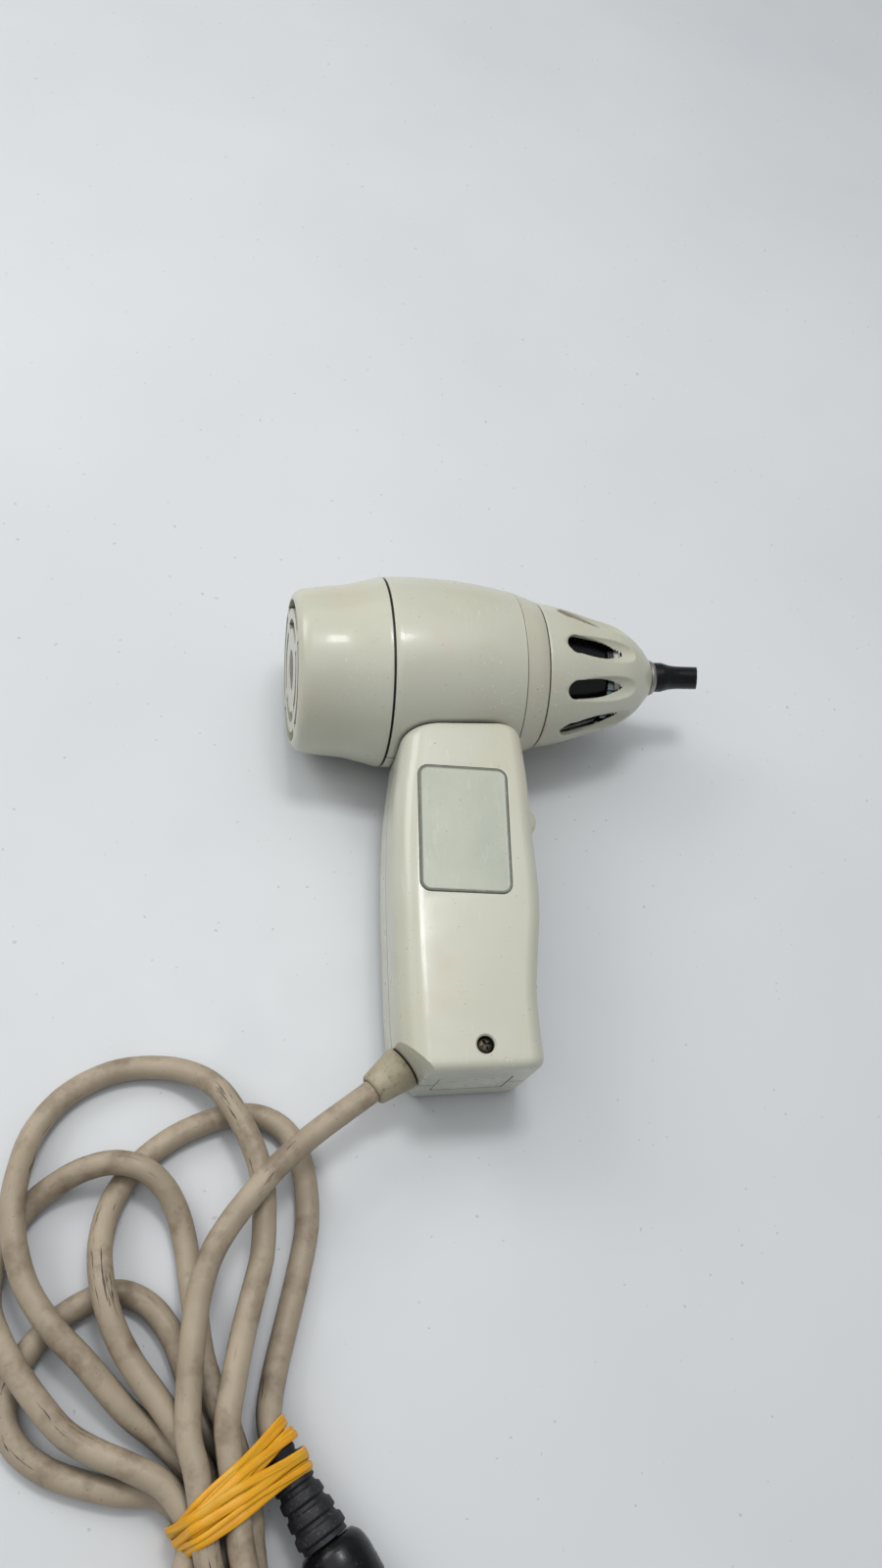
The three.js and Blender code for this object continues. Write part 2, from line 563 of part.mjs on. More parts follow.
// ---------------------------------------------------------------- the connector on the lead
function connector() {
  const axis = new THREE.Group();
  axis.position.set(-83.4, -168.7, PLUG_HEIGHT);
  axis.rotation.z = TIE_TURN - Math.PI / 2;
  bench.add(axis);
  const bore = CORD / 2 + GAP;
  const ribs = [];
  for (let i = 0; i < 5; i += 1) {
    const x = 3 + i * 4.2;
    const radius = 4.8 + i * 0.42;
    ribs.push([x, radius], [x + 2.4, radius + 0.2], [x + 3.2, radius - 0.7]);
  }
  add('connector_relief', ring([[0, bore], [0, 4.2], ...ribs, [24, bore]], 20), RUBBER, axis);
  const shell = ring([
    [24.3, bore], [24.3, 7], [26, 8.4], [29, 9], [48, 9], [48, 7.6], [66, 7.6], [66, 6.9], [50, 6.9],
    [50, bore],
  ], 28);
  add('connector_body', shell, BLACK, axis);
  add('connector_ring', knurledRing(), BLACK, axis);
  add('connector_insert', pins(), finish(0x2a2a2c, 0.6), axis);
}

function knurledRing() {
  let body = solid(ring([[48.4, 8], [48.4, 10.2], [62, 10.2], [62, 8]], 32));
  const grooves = 12;
  for (let i = 0; i < grooves; i += 1) {
    const cut = rod(50, 63, 0.7, 6).translate(0, 0, 10.5).rotateX(i * 2 * Math.PI / grooves);
    body = body.subtract(solid(cut));
  }
  return body;
}

function pins() {
  let body = solid(rod(50.4, 54, 6.5, 28));
  const count = 6;
  for (let i = 0; i < count; i += 1) {
    const pin = turned([[53, 0], [53, 0.9], [62, 0.9], [63, 0.4], [63, 0]], 10)
      .translate(0, 0, 4)
      .rotateX(i * 2 * Math.PI / count);
    body = body.add(solid(pin));
  }
  return body;
}

// ---------------------------------------------------------------- the whole object
housing();
trim();
rearCap();
fan();
lamp();
frontCollar();
noseCone();
lightPath();
trigger();
switchGear();
electrics();
strainRelief();
cordPiece('lead_start', LEAD, 10);
cordPiece('lead_loop_1', LOOP_A, 20);
cordPiece('lead_loop_2', LOOP_B, 17);
cordPiece('lead_loop_3', LOOP_C, 16);
cordPiece('lead_loop_4', LOOP_D, 11);
hank();
tie();
connector();

export default object;
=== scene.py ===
import json
import math
import random

import bpy
from mathutils import Matrix, Vector


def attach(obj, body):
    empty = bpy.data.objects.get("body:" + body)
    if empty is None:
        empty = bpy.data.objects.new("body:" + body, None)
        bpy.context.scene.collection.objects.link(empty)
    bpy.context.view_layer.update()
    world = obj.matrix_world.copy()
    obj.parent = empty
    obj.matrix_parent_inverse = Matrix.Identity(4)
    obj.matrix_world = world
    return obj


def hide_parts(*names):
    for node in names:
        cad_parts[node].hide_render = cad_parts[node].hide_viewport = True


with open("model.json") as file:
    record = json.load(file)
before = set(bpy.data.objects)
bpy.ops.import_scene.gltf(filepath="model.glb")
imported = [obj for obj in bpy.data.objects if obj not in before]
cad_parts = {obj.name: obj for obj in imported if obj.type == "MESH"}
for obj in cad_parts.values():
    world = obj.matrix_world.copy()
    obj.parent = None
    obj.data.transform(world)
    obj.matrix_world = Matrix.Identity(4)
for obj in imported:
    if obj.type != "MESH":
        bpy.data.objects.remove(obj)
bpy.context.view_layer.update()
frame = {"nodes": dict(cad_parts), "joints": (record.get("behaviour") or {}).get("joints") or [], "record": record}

# ---------------------------------------------------------------- the frame
# Shapes are made in millimetres, in the tool's own frame (X along the barrel, Y away from the
# grip, Z through the grip) or in the lead's frame, and carried to the row frame in metres.
MM = 0.001
FAN_X = -20.4                     # where the fan's joint is on the barrel's axis
joints = {joint["name"]: joint for joint in frame["joints"]}
mounts = {mount["name"]: mount for mount in frame["record"]["mounts"]}
side = mounts["grip_side"]["axis"]
TILT = math.atan2(side[1], -side[2])
ORIGIN = Vector(joints["fan_spin"]["pos_m"]) - Vector((FAN_X * MM, 0, 0))
TOOL = Matrix.Translation(ORIGIN) @ Matrix.Rotation(TILT, 4, "X") @ Matrix.Scale(MM, 4)
LEAD_ORIGIN = (0.00023, 0.0013, 0)      # metres, in the row frame
LEAD_FRAME = Matrix.Translation(LEAD_ORIGIN) @ Matrix.Scale(MM, 4)

GAP = 0.3
SPLIT = 0.22                      # half the gap between the two shells
WALL = 2.3
BARREL = [(0.3, 30.85), (10, 31.04), (25, 30.3), (34, 29.0), (42.7, 27.35)]
CAP_BACK = -28.6
SEAM_A = 42.9
SEAM_B = 51
NOSE_TIP = 92.3
GUIDE_OFFSET = 0.4
GRIP_THICK = 36
GRIP_TOP = -26.7
GRIP_BOTTOM = -134.2
REAR_ROUND = 8
FRONT_ROUND = 4.8
TRIGGER_Y = -55
BOOT_ROOT = Vector((-1.7, -128.5, 0))
BOOT_WAY = Vector((-0.828, -0.561, 0))
BOOT_LENGTH = 10.8
CORD = 6.6
LABEL_AT = Vector((18.7, -62.6, 0))
LABEL_SIZE = (27.2, 40)
LABEL_TURN = math.radians(-3.6)
LABEL_SEAT = GRIP_THICK / 2 - 0.6
SCREW_AT = Vector((18.5, -127.2, 0))
HEAD_SEAT = GRIP_THICK / 2 - 3.2
TIE_AT = Vector((-99, -170.5, 0))
TIE_TURN = math.radians(28)
PLUG_AT = Vector((-83.4, -168.7, 10.6))
BOOT_ANGLE = math.atan2(BOOT_WAY.y, BOOT_WAY.x)
ON_LEAD = Matrix.Translation(BOOT_ROOT) @ Matrix.Rotation(BOOT_ANGLE, 4, "Z")
PLUG = LEAD_FRAME @ Matrix.Translation(PLUG_AT) @ Matrix.Rotation(TIE_TURN - math.pi / 2, 4, "Z")


def shown(name, data):
    """A new object with this data, in the scene."""
    obj = bpy.data.objects.new(name, data)
    bpy.context.scene.collection.objects.link(obj)
    return obj


# ---------------------------------------------------------------- camera
CAMERA_AT = (-0.11167, -0.1847, 0.36696)
CAMERA_RIGHT = (0.9764, -0.1069, 0.1877)
CAMERA_BACK = (-0.2161, -0.4921, 0.8433)
LENS = 29.25


def camera():
    """Looks down at the tool from beyond the grip's end, a little to the rear."""
    data = bpy.data.cameras.new("camera")
    data.lens = LENS
    data.sensor_width = 36
    data.clip_start = 0.01
    obj = shown("camera", data)
    right = Vector(CAMERA_RIGHT).normalized()
    back = Vector(CAMERA_BACK).normalized()
    up = back.cross(right).normalized()
    right = up.cross(back)
    turn = Matrix((right, up, back)).transposed().to_4x4()
    obj.matrix_world = Matrix.Translation(CAMERA_AT) @ turn
    bpy.context.scene.camera = obj


camera()


# ---------------------------------------------------------------- node materials
class Finish:
    """A node material: a principled shader and short calls for the nodes before it."""

    def __init__(self, name, **sockets):
        self.material = bpy.data.materials.new(name)
        self.material.use_nodes = True
        self.nodes = self.material.node_tree.nodes
        self.shader = self.nodes["Principled BSDF"]
        self.where = self.nodes.new("ShaderNodeTexCoord").outputs["Object"]
        for key, value in sockets.items():
            socket = key.replace("_", " ").title().replace("Ior", "IOR")
            self.shader.inputs[socket].default_value = value

    def link(self, output, target):
        self.material.node_tree.links.new(output, target)
        return output

    def make(self, kind, values=(), **settings):
        item = self.nodes.new(kind)
        for key, value in settings.items():
            setattr(item, key, value)
        for key, value in dict(values).items():
            if isinstance(value, bpy.types.NodeSocket):
                self.link(value, item.inputs[key])
            else:
                item.inputs[key].default_value = value
        return item

    def stretched(self, scale, turn=(0, 0, 0)):
        """The place on the object, scaled by axis."""
        values = {"Vector": self.where, "Scale": scale, "Rotation": turn}
        return self.make("ShaderNodeMapping", values).outputs[0]

    def along(self, length, round_it):
        """The place on a tube, by metres along it and turns round it, each scaled."""
        place = self.make("ShaderNodeUVMap", uv_map="along").outputs[0]
        values = {"Vector": place, "Scale": (length, round_it, 1)}
        return self.make("ShaderNodeMapping", values).outputs[0]

    def noise(self, scale, detail=3.0, roughness=0.55, place=None, shift=0.0):
        values = {"Vector": place or self.where, "Scale": scale, "Detail": detail, "Roughness": roughness}
        if shift:
            moved = self.make("ShaderNodeVectorMath", {0: values["Vector"], 1: (shift, shift, shift)})
            values["Vector"] = moved.outputs[0]
        return self.make("ShaderNodeTexNoise", values).outputs["Fac"]

    def band(self, value, low, high, to_low=0.0, to_high=1.0):
        """value, stretched from low..high to to_low..to_high and clamped."""
        values = {0: value, 1: low, 2: high, 3: to_low, 4: to_high}
        return self.make("ShaderNodeMapRange", values).outputs[0]

    def times(self, a, b):
        return self.make("ShaderNodeMath", {0: a, 1: b}, operation="MULTIPLY").outputs[0]

    def plus(self, a, b):
        return self.make("ShaderNodeMath", {0: a, 1: b}, operation="ADD").outputs[0]

    def crevices(self, reach, low=0.3, high=0.8):
        """1 deep in a seam, slot or corner, 0 in the open."""
        shade = self.make("ShaderNodeAmbientOcclusion", {"Distance": reach}, samples=8).outputs["AO"]
        return self.band(shade, low, high, 1, 0)

    def mix(self, factor, a, b):
        values = {0: factor, 6: colour(a), 7: colour(b)}
        return self.make("ShaderNodeMix", values, data_type="RGBA").outputs[2]

    def paint(self, value, painted_shade=True):
        """The colour; in seams, slots and corners, and deep inside the tool, it is darkened by ambient occlusion
        as painted shade.
        """
        if painted_shade:
            # Painted shade: the colour goes towards 14120f where ambient occlusion finds surfaces close by.
            value = self.mix(self.times(self.crevices(0.025, 0.06, 0.3), 0.93), value, "14120f")
        self.link(value, self.shader.inputs["Base Color"])

    def rough(self, value):
        self.link(value, self.shader.inputs["Roughness"])

    def gloss(self, scale, detail, low, high):
        """Roughness that wanders from low to high."""
        self.rough(self.band(self.noise(scale, detail), 0.3, 0.7, low, high))

    def bump(self, height, distance, strength=1.0):
        values = {"Height": height, "Distance": distance, "Strength": strength}
        self.link(self.make("ShaderNodeBump", values).outputs[0], self.shader.inputs["Normal"])


def colour(value):
    """A linear colour from an sRGB hex string, or a socket as it is."""
    if not isinstance(value, str):
        return value
    parts = [int(value[i:i + 2], 16) / 255 for i in (0, 2, 4)]
    return (*[c / 12.92 if c <= 0.04045 else ((c + 0.055) / 1.055) ** 2.4 for c in parts], 1)


def ivory(name, base, aged, stain):
    """Moulded ivory plastic, handled for years: yellowed in clouds, scuffed along, with specks. The scuffs are
    painted pale as a painted highlight, and seams and corners carry painted shade.
    """
    f = Finish(name, roughness=0.36, ior=1.5, coat_weight=0.3, coat_roughness=0.1)
    clouds = f.band(f.noise(22, 2), 0.38, 0.68, 0, 0.75)
    tone = f.mix(clouds, base, aged)
    warm = f.band(f.noise(34, 3, shift=3.7), 0.55, 0.74, 0, 0.5)
    tone = f.mix(warm, tone, stain)
    streak_noise = f.noise(1, 4, 0.7, f.stretched((1400, 45, 1400)))
    where = f.band(f.noise(30, 2, shift=9.1), 0.45, 0.62)
    scuff_and_glint = f.times(f.band(streak_noise, 0.61, 0.68), where)
    # The scuffs are painted pale towards f4f3ea: partly real wear, partly a painted highlight that stands for
    # their glints.
    tone = f.mix(f.times(scuff_and_glint, 0.5), tone, "f4f3ea")
    specks = f.band(f.noise(1300, 1, 0.4, shift=5.3), 0.775, 0.79)
    tone = f.mix(f.times(specks, 0.7), tone, "5f594b")
    # Painted shade: darker towards 2e2a22 in seams and corners, found by ambient occlusion.
    tone = f.mix(f.times(f.crevices(0.0022), 0.85), tone, "2e2a22")
    f.paint(tone)
    f.rough(f.plus(f.band(f.noise(160, 4), 0.3, 0.7, 0.27, 0.4), f.times(scuff_and_glint, 0.2)))
    grain = f.plus(f.times(f.noise(2600, 2), 0.3), f.times(scuff_and_glint, 0.5))
    f.bump(grain, 0.00006, 0.6)
    return f.material


def dark_plastic(name, base, worn, roughness=0.34):
    """Black moulded plastic, greyed in worn patches, with hairline scratches and a little dust."""
    f = Finish(name, ior=1.5, specular_ior_level=0.35)
    wear = f.band(f.noise(240, 5, 0.65), 0.5, 0.8, 0, 0.6)
    lines = f.band(f.noise(1, 3, 0.6, f.stretched((260, 2600, 2600))), 0.66, 0.74, 0, 0.5)
    tone = f.mix(wear, base, worn)
    tone = f.mix(lines, tone, "34363c")
    dust = f.band(f.noise(1800, 1), 0.72, 0.78, 0, 0.5)
    f.paint(f.mix(dust, tone, "4b4c4e"))
    uneven = f.band(f.noise(420, 3), 0.3, 0.7, roughness - 0.06, roughness + 0.12)
    f.rough(f.plus(uneven, f.times(lines, 0.3)))
    f.bump(f.plus(f.noise(3000, 2), f.times(lines, 1.5)), 0.00004, 0.5)
    return f.material


def sheath():
    """The lead's beige sheath: greasy smudges, and fine dark cracks round it, in uneven runs."""
    f = Finish("lead_sheath", ior=1.48)
    tone = f.mix(f.band(f.noise(60, 3), 0.35, 0.7), "ab9d88", "998b77")
    smudge = f.band(f.noise(95, 4, 0.62, shift=2.2), 0.5, 0.72, 0, 0.75)
    tone = f.mix(smudge, tone, "6d5c49")
    cracks = f.noise(1, 3, 0.6, f.along(70, 15))
    run = f.band(f.noise(1, 2, 0.5, f.along(24, 2)), 0.5, 0.6)
    crack = f.times(f.band(cracks, 0.61, 0.65), run)
    tone = f.mix(f.times(crack, 0.85), tone, "3b2d20")
    spots = f.band(f.noise(1250, 1, shift=7.1), 0.76, 0.78, 0, 0.7)
    f.paint(f.mix(spots, tone, "4a3d30"))
    f.gloss(300, 3, 0.42, 0.6)
    f.bump(f.plus(f.times(f.noise(1500, 3), 0.4), f.times(crack, -1.2)), 0.00012, 0.8)
    return f.material


def soft_beige(name, base, dirt):
    """Moulded beige strain relief, with grime in patches and painted shade in its hollows."""
    f = Finish(name, ior=1.48)
    tone = f.mix(f.band(f.noise(120, 3), 0.3, 0.7), base, dirt)
    grime = f.band(f.noise(420, 4, 0.6, shift=4.4), 0.56, 0.74, 0, 0.7)
    tone = f.mix(grime, tone, "5c5140")
    # Painted shade: darker towards 2e2a20 in hollows, found by ambient occlusion.
    f.paint(f.mix(f.times(f.crevices(0.0016), 0.8), tone, "2e2a20"))
    f.gloss(260, 3, 0.42, 0.58)
    f.bump(f.noise(1700, 3), 0.0001, 0.6)
    return f.material


def rubber_band():
    """Amber rubber, with long stretch lines and a paler bloom."""
    f = Finish("amber_band", ior=1.5, subsurface_weight=0.25, subsurface_scale=0.0015)
    lines = f.noise(1, 3, 0.6, f.along(60, 14))
    tone = f.mix(f.band(lines, 0.35, 0.7), "f0b016", "cf8a08")
    bloom = f.band(f.noise(240, 4), 0.52, 0.75, 0, 0.5)
    f.paint(f.mix(bloom, tone, "e9b23c"))
    f.gloss(500, 3, 0.4, 0.55)
    f.bump(f.plus(lines, f.times(f.noise(2200, 2), 0.3)), 0.0001, 0.7)
    return f.material


def black_rubber():
    """Soft black moulding, faintly blue, with grey dust in it."""
    f = Finish("black_rubber", ior=1.48)
    tone = f.mix(f.band(f.noise(150, 4), 0.35, 0.7), "14151b", "25262c")
    dust = f.band(f.noise(1300, 3, 0.6), 0.58, 0.74, 0, 0.45)
    f.paint(f.mix(dust, tone, "6a6862"))
    f.gloss(300, 3, 0.5, 0.66)
    f.bump(f.noise(2400, 3), 0.00009, 0.7)
    return f.material


def metal(name, base, dull, roughness, stretch):
    """Bare metal with fine lines along its turning or rolling, and dull patches."""
    f = Finish(name, metallic=1.0)
    lines = f.noise(1, 3, 0.6, f.stretched(stretch))
    patches = f.band(f.noise(190, 4), 0.45, 0.75, 0, 0.6)
    f.paint(f.mix(patches, f.mix(f.band(lines, 0.3, 0.7), base, dull), dull))
    f.rough(f.plus(f.band(lines, 0.3, 0.7, roughness, roughness + 0.14), f.times(patches, 0.15)))
    f.bump(lines, 0.00003, 0.5)
    return f.material


def glass(name, tint):
    """Clear glass, with a faint haze of dust."""
    f = Finish(name, transmission_weight=1.0, ior=1.5)
    haze = f.band(f.noise(500, 4), 0.5, 0.8, 0, 0.3)
    f.paint(f.mix(haze, tint, "e8ecea"))
    f.rough(f.band(f.noise(320, 4), 0.3, 0.8, 0.03, 0.2))
    f.bump(f.noise(900, 2), 0.00002, 0.3)
    return f.material


def plate_field():
    """The label's grey-green field: a printed film, a little silvery, rubbed and finger-marked."""
    f = Finish("plate_field", ior=1.5, coat_weight=0.25, coat_roughness=0.2)
    tone = f.mix(f.band(f.noise(45, 3), 0.3, 0.7), "b4b9a8", "a8ad9f")
    rub = f.band(f.noise(1, 4, 0.65, f.stretched((700, 120, 700))), 0.58, 0.74, 0, 0.5)
    tone = f.mix(rub, tone, "bcc5b8")
    specks = f.band(f.noise(1500, 1), 0.74, 0.77, 0, 0.7)
    f.paint(f.mix(specks, tone, "5d655b"))
    f.gloss(220, 4, 0.3, 0.46)
    f.bump(f.plus(f.noise(1900, 2), rub), 0.00004, 0.5)
    return f.material


def plate_border():
    """The label's dark printed frame line, worn pale in places."""
    f = Finish("plate_border", ior=1.5)
    worn = f.band(f.noise(600, 5, 0.7), 0.5, 0.75, 0, 0.7)
    f.paint(f.mix(worn, "6d7065", "8e9186"))
    f.gloss(400, 3, 0.35, 0.5)
    f.bump(f.noise(1500, 3), 0.00004, 0.5)
    return f.material


def sticker():
    """A blank paper sticker, yellowed and thumbed."""
    f = Finish("blank_sticker", ior=1.45)
    tone = f.mix(f.band(f.noise(90, 4), 0.35, 0.7), "d2d2c8", "c4c3b6")
    dirt = f.band(f.noise(500, 5, 0.65, shift=1.9), 0.54, 0.74, 0, 0.6)
    f.paint(f.mix(dirt, tone, "7d7666"))
    f.gloss(260, 3, 0.5, 0.7)
    f.bump(f.noise(2600, 3, 0.7), 0.00005, 0.6)
    return f.material


def woven_mesh():
    """Fine wire mesh, as crossing waves, furred with pinkish dust."""
    f = Finish("intake_weave", metallic=0.5)
    strands = []
    for turn in (0.0, math.pi / 2):
        place = f.stretched((1, 1, 1), (turn, 0, 0))
        wave = f.make("ShaderNodeTexWave", {"Vector": place, "Scale": 420.0}, bands_direction="Y")
        strands.append(wave.outputs["Fac"])
    weave = f.plus(f.times(strands[0], 0.5), f.times(strands[1], 0.5))
    dust = f.band(f.noise(700, 4), 0.4, 0.7)
    f.paint(f.mix(dust, f.mix(weave, "2c2725", "a8a09a"), "a78f88"))
    f.gloss(500, 3, 0.5, 0.8)
    f.bump(weave, 0.0002, 0.9)
    return f.material


def inner_plastic(name, base, other, roughness=0.5):
    """A moulded or coated inner part, with mottled colour and a light grain."""
    f = Finish(name, ior=1.5)
    f.paint(f.mix(f.band(f.noise(260, 5, 0.6), 0.35, 0.7), base, other))
    f.gloss(300, 3, roughness - 0.08, roughness + 0.1)
    f.bump(f.noise(2200, 3), 0.00006, 0.6)
    return f.material


def circuit_board():
    """Green solder resist over copper tracks that run in steps."""
    f = Finish("circuit_board", ior=1.5)
    tracks = f.make("ShaderNodeTexBrick", {
        "Vector": f.stretched((1, 1, 1)), "Scale": 260.0, "Mortar Size": 0.06,
        "Color1": colour("1f5b38"), "Color2": colour("2a6b43"), "Mortar": colour("5f8f4d"),
    })
    f.paint(f.mix(f.band(f.noise(400, 3), 0.4, 0.7, 0, 0.4), tracks.outputs["Color"], "17482c"))
    f.gloss(500, 3, 0.35, 0.5)
    f.bump(tracks.outputs["Fac"], 0.00008, 0.6)
    return f.material


FINISHES = {
    "ivory": ivory("ivory_shell", "c1c2b2", "bbbaa5", "c6b39c"),
    "ivory_dark": ivory("ivory_trim", "c2c0ae", "bab59f", "c6ac93"),
    "black": dark_plastic("black_moulding", "040509", "0d0f14", 0.24),
    "rubber": black_rubber(),
    "beige": soft_beige("beige_relief", "a89f87", "8e866d"),
    "steel": metal("steel", "b4b6b9", "7f8184", 0.24, (2600, 90, 2600)),
    "aluminium": metal("aluminium", "c3c0bc", "958f88", 0.3, (3000, 200, 200)),
    "brass": metal("brass", "c79b46", "8c6a2c", 0.3, (2600, 200, 200)),
    "glass": glass("clear_glass", "b9cdd3"),
    "mirror": inner_plastic("mirror_coat", "2b2622", "171412", 0.5),
    "ceramic": inner_plastic("ceramic", "e6e0d4", "cfc8b8", 0.6),
    "board": circuit_board(),
    "plate": plate_field(),
    "sticker": sticker(),
    "mesh": woven_mesh(),
    "blue": inner_plastic("relay_blue", "24508c", "1b3d70", 0.42),
    "band": rubber_band(),
}


# ---------------------------------------------------------------- shapes in mesh code
def blend(a, b, start, end, u):
    """a at start, b at end, and in proportion at u between or beyond them."""
    return (a * (end - u) + b * (u - start)) / (end - start)


def catmull(points, gap):
    """Points about gap apart on a centripetal Catmull-Rom curve through points."""
    pts = [Vector(p) for p in points]
    pts = [2 * pts[0] - pts[1], *pts, 2 * pts[-1] - pts[-2]]
    out = []
    for i in range(1, len(pts) - 2):
        p = pts[i - 1:i + 3]
        t = [0.0]
        for a, b in zip(p, p[1:]):
            t.append(t[-1] + max((b - a).length, 1e-6) ** 0.5)
        count = max(2, math.ceil((p[2] - p[1]).length / gap))
        for k in range(count):
            u = t[1] + (t[2] - t[1]) * k / count
            first = [blend(p[j], p[j + 1], t[j], t[j + 1], u) for j in range(3)]
            second = [blend(first[j], first[j + 1], t[j], t[j + 2], u) for j in range(2)]
            out.append(blend(second[0], second[1], t[1], t[2], u))
    out.append(pts[-2])
    return out


def smooth2d(points, gap=1.0):
    return [(p.x, p.y) for p in catmull([(a, b, 0) for a, b in points], gap)]


def fillet(points, steps=5):
    """Rounds the corners of an outline whose points are (x, y) or (x, y, how far to round)."""
    out = []
    count = len(points)
    for i, item in enumerate(points):
        at = Vector(item[:2])
        if len(item) < 3 or i in (0, count - 1):
            out.append(tuple(at))
            continue
        before, after = Vector(points[i - 1][:2]) - at, Vector(points[i + 1][:2]) - at
        reach = min(item[2], 0.48 * before.length, 0.48 * after.length)
        start, end = at + before.normalized() * reach, at + after.normalized() * reach
        for k in range(steps + 1):
            t = k / steps
            out.append(tuple(start * (1 - t) ** 2 + at * 2 * t * (1 - t) + end * t * t))
    return out


def mesh_of(vertices, faces, name="shape"):
    mesh = bpy.data.meshes.new(name)
    mesh.from_pydata([tuple(v) for v in vertices], [], faces)
    mesh.update()
    return mesh


def lathe(profile, sides=96, loop=False):
    """A solid of revolution about X. The profile goes from the axis to the axis, or is a loop."""
    vertices, rows = [], []
    for x, radius in profile:
        if radius < 1e-6:
            rows.append([len(vertices)] * sides)
            vertices.append((x, 0, 0))
            continue
        rows.append(list(range(len(vertices), len(vertices) + sides)))
        for k in range(sides):
            angle = 2 * math.pi * k / sides
            vertices.append((x, radius * math.cos(angle), radius * math.sin(angle)))
    faces = []
    pairs = list(zip(rows, rows[1:])) + ([(rows[-1], rows[0])] if loop else [])
    for a, b in pairs:
        for k in range(sides):
            n = (k + 1) % sides
            corners = [a[k], a[n], b[n], b[k]]
            corners = [c for i, c in enumerate(corners) if c not in corners[:i]]
            if len(corners) > 2:
                faces.append(corners)
    return outward(mesh_of(vertices, faces))


def ring(profile, sides=96):
    return lathe(profile, sides, loop=True)


def rod(start, end, radius, sides=48):
    return lathe([(start, 0), (start, radius), (end, radius), (end, 0)], sides)


def outward(mesh):
    """The same mesh with its faces pointing out of the solid."""
    volume = 0.0
    for face in mesh.polygons:
        points = [mesh.vertices[i].co for i in face.vertices]
        for b, c in zip(points[1:], points[2:]):
            volume += points[0].dot(b.cross(c))
    if volume < 0:
        mesh.flip_normals()
    return mesh


def skin(rows, count):
    """Faces over rows of count points each, with a cap at each end."""
    faces = []
    for i in range(rows - 1):
        for k in range(count):
            n = (k + 1) % count
            faces.append([i * count + k, i * count + n, (i + 1) * count + n, (i + 1) * count + k])
    faces.append(list(range(count))[::-1])
    faces.append([(rows - 1) * count + k for k in range(count)])
    return faces


def loft(sections):
    """A closed skin over sections with equal numbers of points."""
    vertices = [p for section in sections for p in section]
    return outward(mesh_of(vertices, skin(len(sections), len(sections[0]))))


def prism(outline, low, high):
    """An outline in X and Y, carried from low to high along Z."""
    return loft([[(x, y, z) for x, y in outline] for z in (low, high)])


def block(size, at):
    x, y = size[0] / 2, size[1] / 2
    mesh = prism([(-x, -y), (x, -y), (x, y), (-x, y)], -size[2] / 2, size[2] / 2)
    mesh.transform(Matrix.Translation(at))
    return mesh


def rounded_outline(width, height, radius, steps=8):
    points = []
    for cx, cy, start in ((1, -1, -90), (1, 1, 0), (-1, 1, 90), (-1, -1, 180)):
        for k in range(steps + 1):
            angle = math.radians(start + 90 * k / steps)
            points.append((cx * (width / 2 - radius) + radius * math.cos(angle),
                           cy * (height / 2 - radius) + radius * math.sin(angle)))
    return points


def moved(mesh, *matrices):
    for matrix in matrices:
        mesh.transform(matrix)
    return mesh


def turn(degrees, axis):
    return Matrix.Rotation(math.radians(degrees), 4, axis)


def shift(x, y=0, z=0):
    return Matrix.Translation((x, y, z))


def upright(mesh, at, z=0):
    """A shape made along X, stood up along Z at a place."""
    return moved(mesh, turn(-90, "Y"), shift(at.x, at.y, z))


def combine(base, steps, after=()):
    """base with (operation, mesh) steps, and then (modifier type, settings), all applied."""
    host = shown("host", base)
    helpers = [shown("helper", mesh) for _, mesh in steps]
    for helper, (operation, _) in zip(helpers, steps):
        modifier = host.modifiers.new("step", "BOOLEAN")
        modifier.operation = operation
        modifier.solver = "MANIFOLD"
        modifier.object = helper
    for kind, settings in after:
        modifier = host.modifiers.new("after", kind)
        for key, value in settings.items():
            setattr(modifier, key, value)
    bpy.context.view_layer.update()
    done = host.evaluated_get(bpy.context.evaluated_depsgraph_get())
    result = bpy.data.meshes.new_from_object(done)
    for obj in (host, *helpers):
        bpy.data.objects.remove(obj)
    return result


def cut(base, *meshes):
    return combine(base, [("DIFFERENCE", mesh) for mesh in meshes])


def piece(name, mesh, body, slot, replaced=(), place=None, angle=32, finishes=None):
    """A shown object from a mesh in millimetres, put in the row frame, smoothed and finished."""
    mesh.transform(TOOL if place is None else place)
    mesh.name = name
    mesh.materials.clear()
    for item in finishes or [FINISHES[slot]]:
        mesh.materials.append(item)
    for face in mesh.polygons:
        face.use_smooth = True
    mesh.set_sharp_from_angle(angle=math.radians(angle))
    obj = shown(name, mesh)
    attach(obj, body)
    if replaced:
        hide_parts(*replaced)
    return obj


def swept(path, outline, frames, name):
    """A tube of any outline along a path, with a UV map of metres along and turns round."""
    count = len(outline)
    vertices, lengths = [], [0.0]
    for i, (at, (u, v)) in enumerate(zip(path, frames)):
        if i:
            lengths.append(lengths[-1] + (at - path[i - 1]).length)
        vertices += [at + u * a + v * b for a, b in outline]
    mesh = mesh_of(vertices, skin(len(path), count), name)
    uv = mesh.uv_layers.new(name="along")
    for face in mesh.polygons:
        low = min(i % count for i in face.vertices)
        for loop_index in face.loop_indices:
            index = mesh.loops[loop_index].vertex_index
            turn_part = index % count
            if low == 0 and turn_part == count - 1 and len(face.vertices) == 4:
                turn_part = -1
            uv.data[loop_index].uv = (lengths[index // count], turn_part / count)
    return outward(mesh)


def carried_frames(path):
    """Two cross directions at each point of a path, carried along without twist."""
    frames = []
    along = (path[1] - path[0]).normalized()
    u = along.orthogonal().normalized()
    for i in range(len(path)):
        a, b = path[max(0, i - 1)], path[min(len(path) - 1, i + 1)]
        now = (b - a).normalized()
        u = (u - now * u.dot(now)).normalized()
        frames.append((u, now.cross(u)))
    return frames


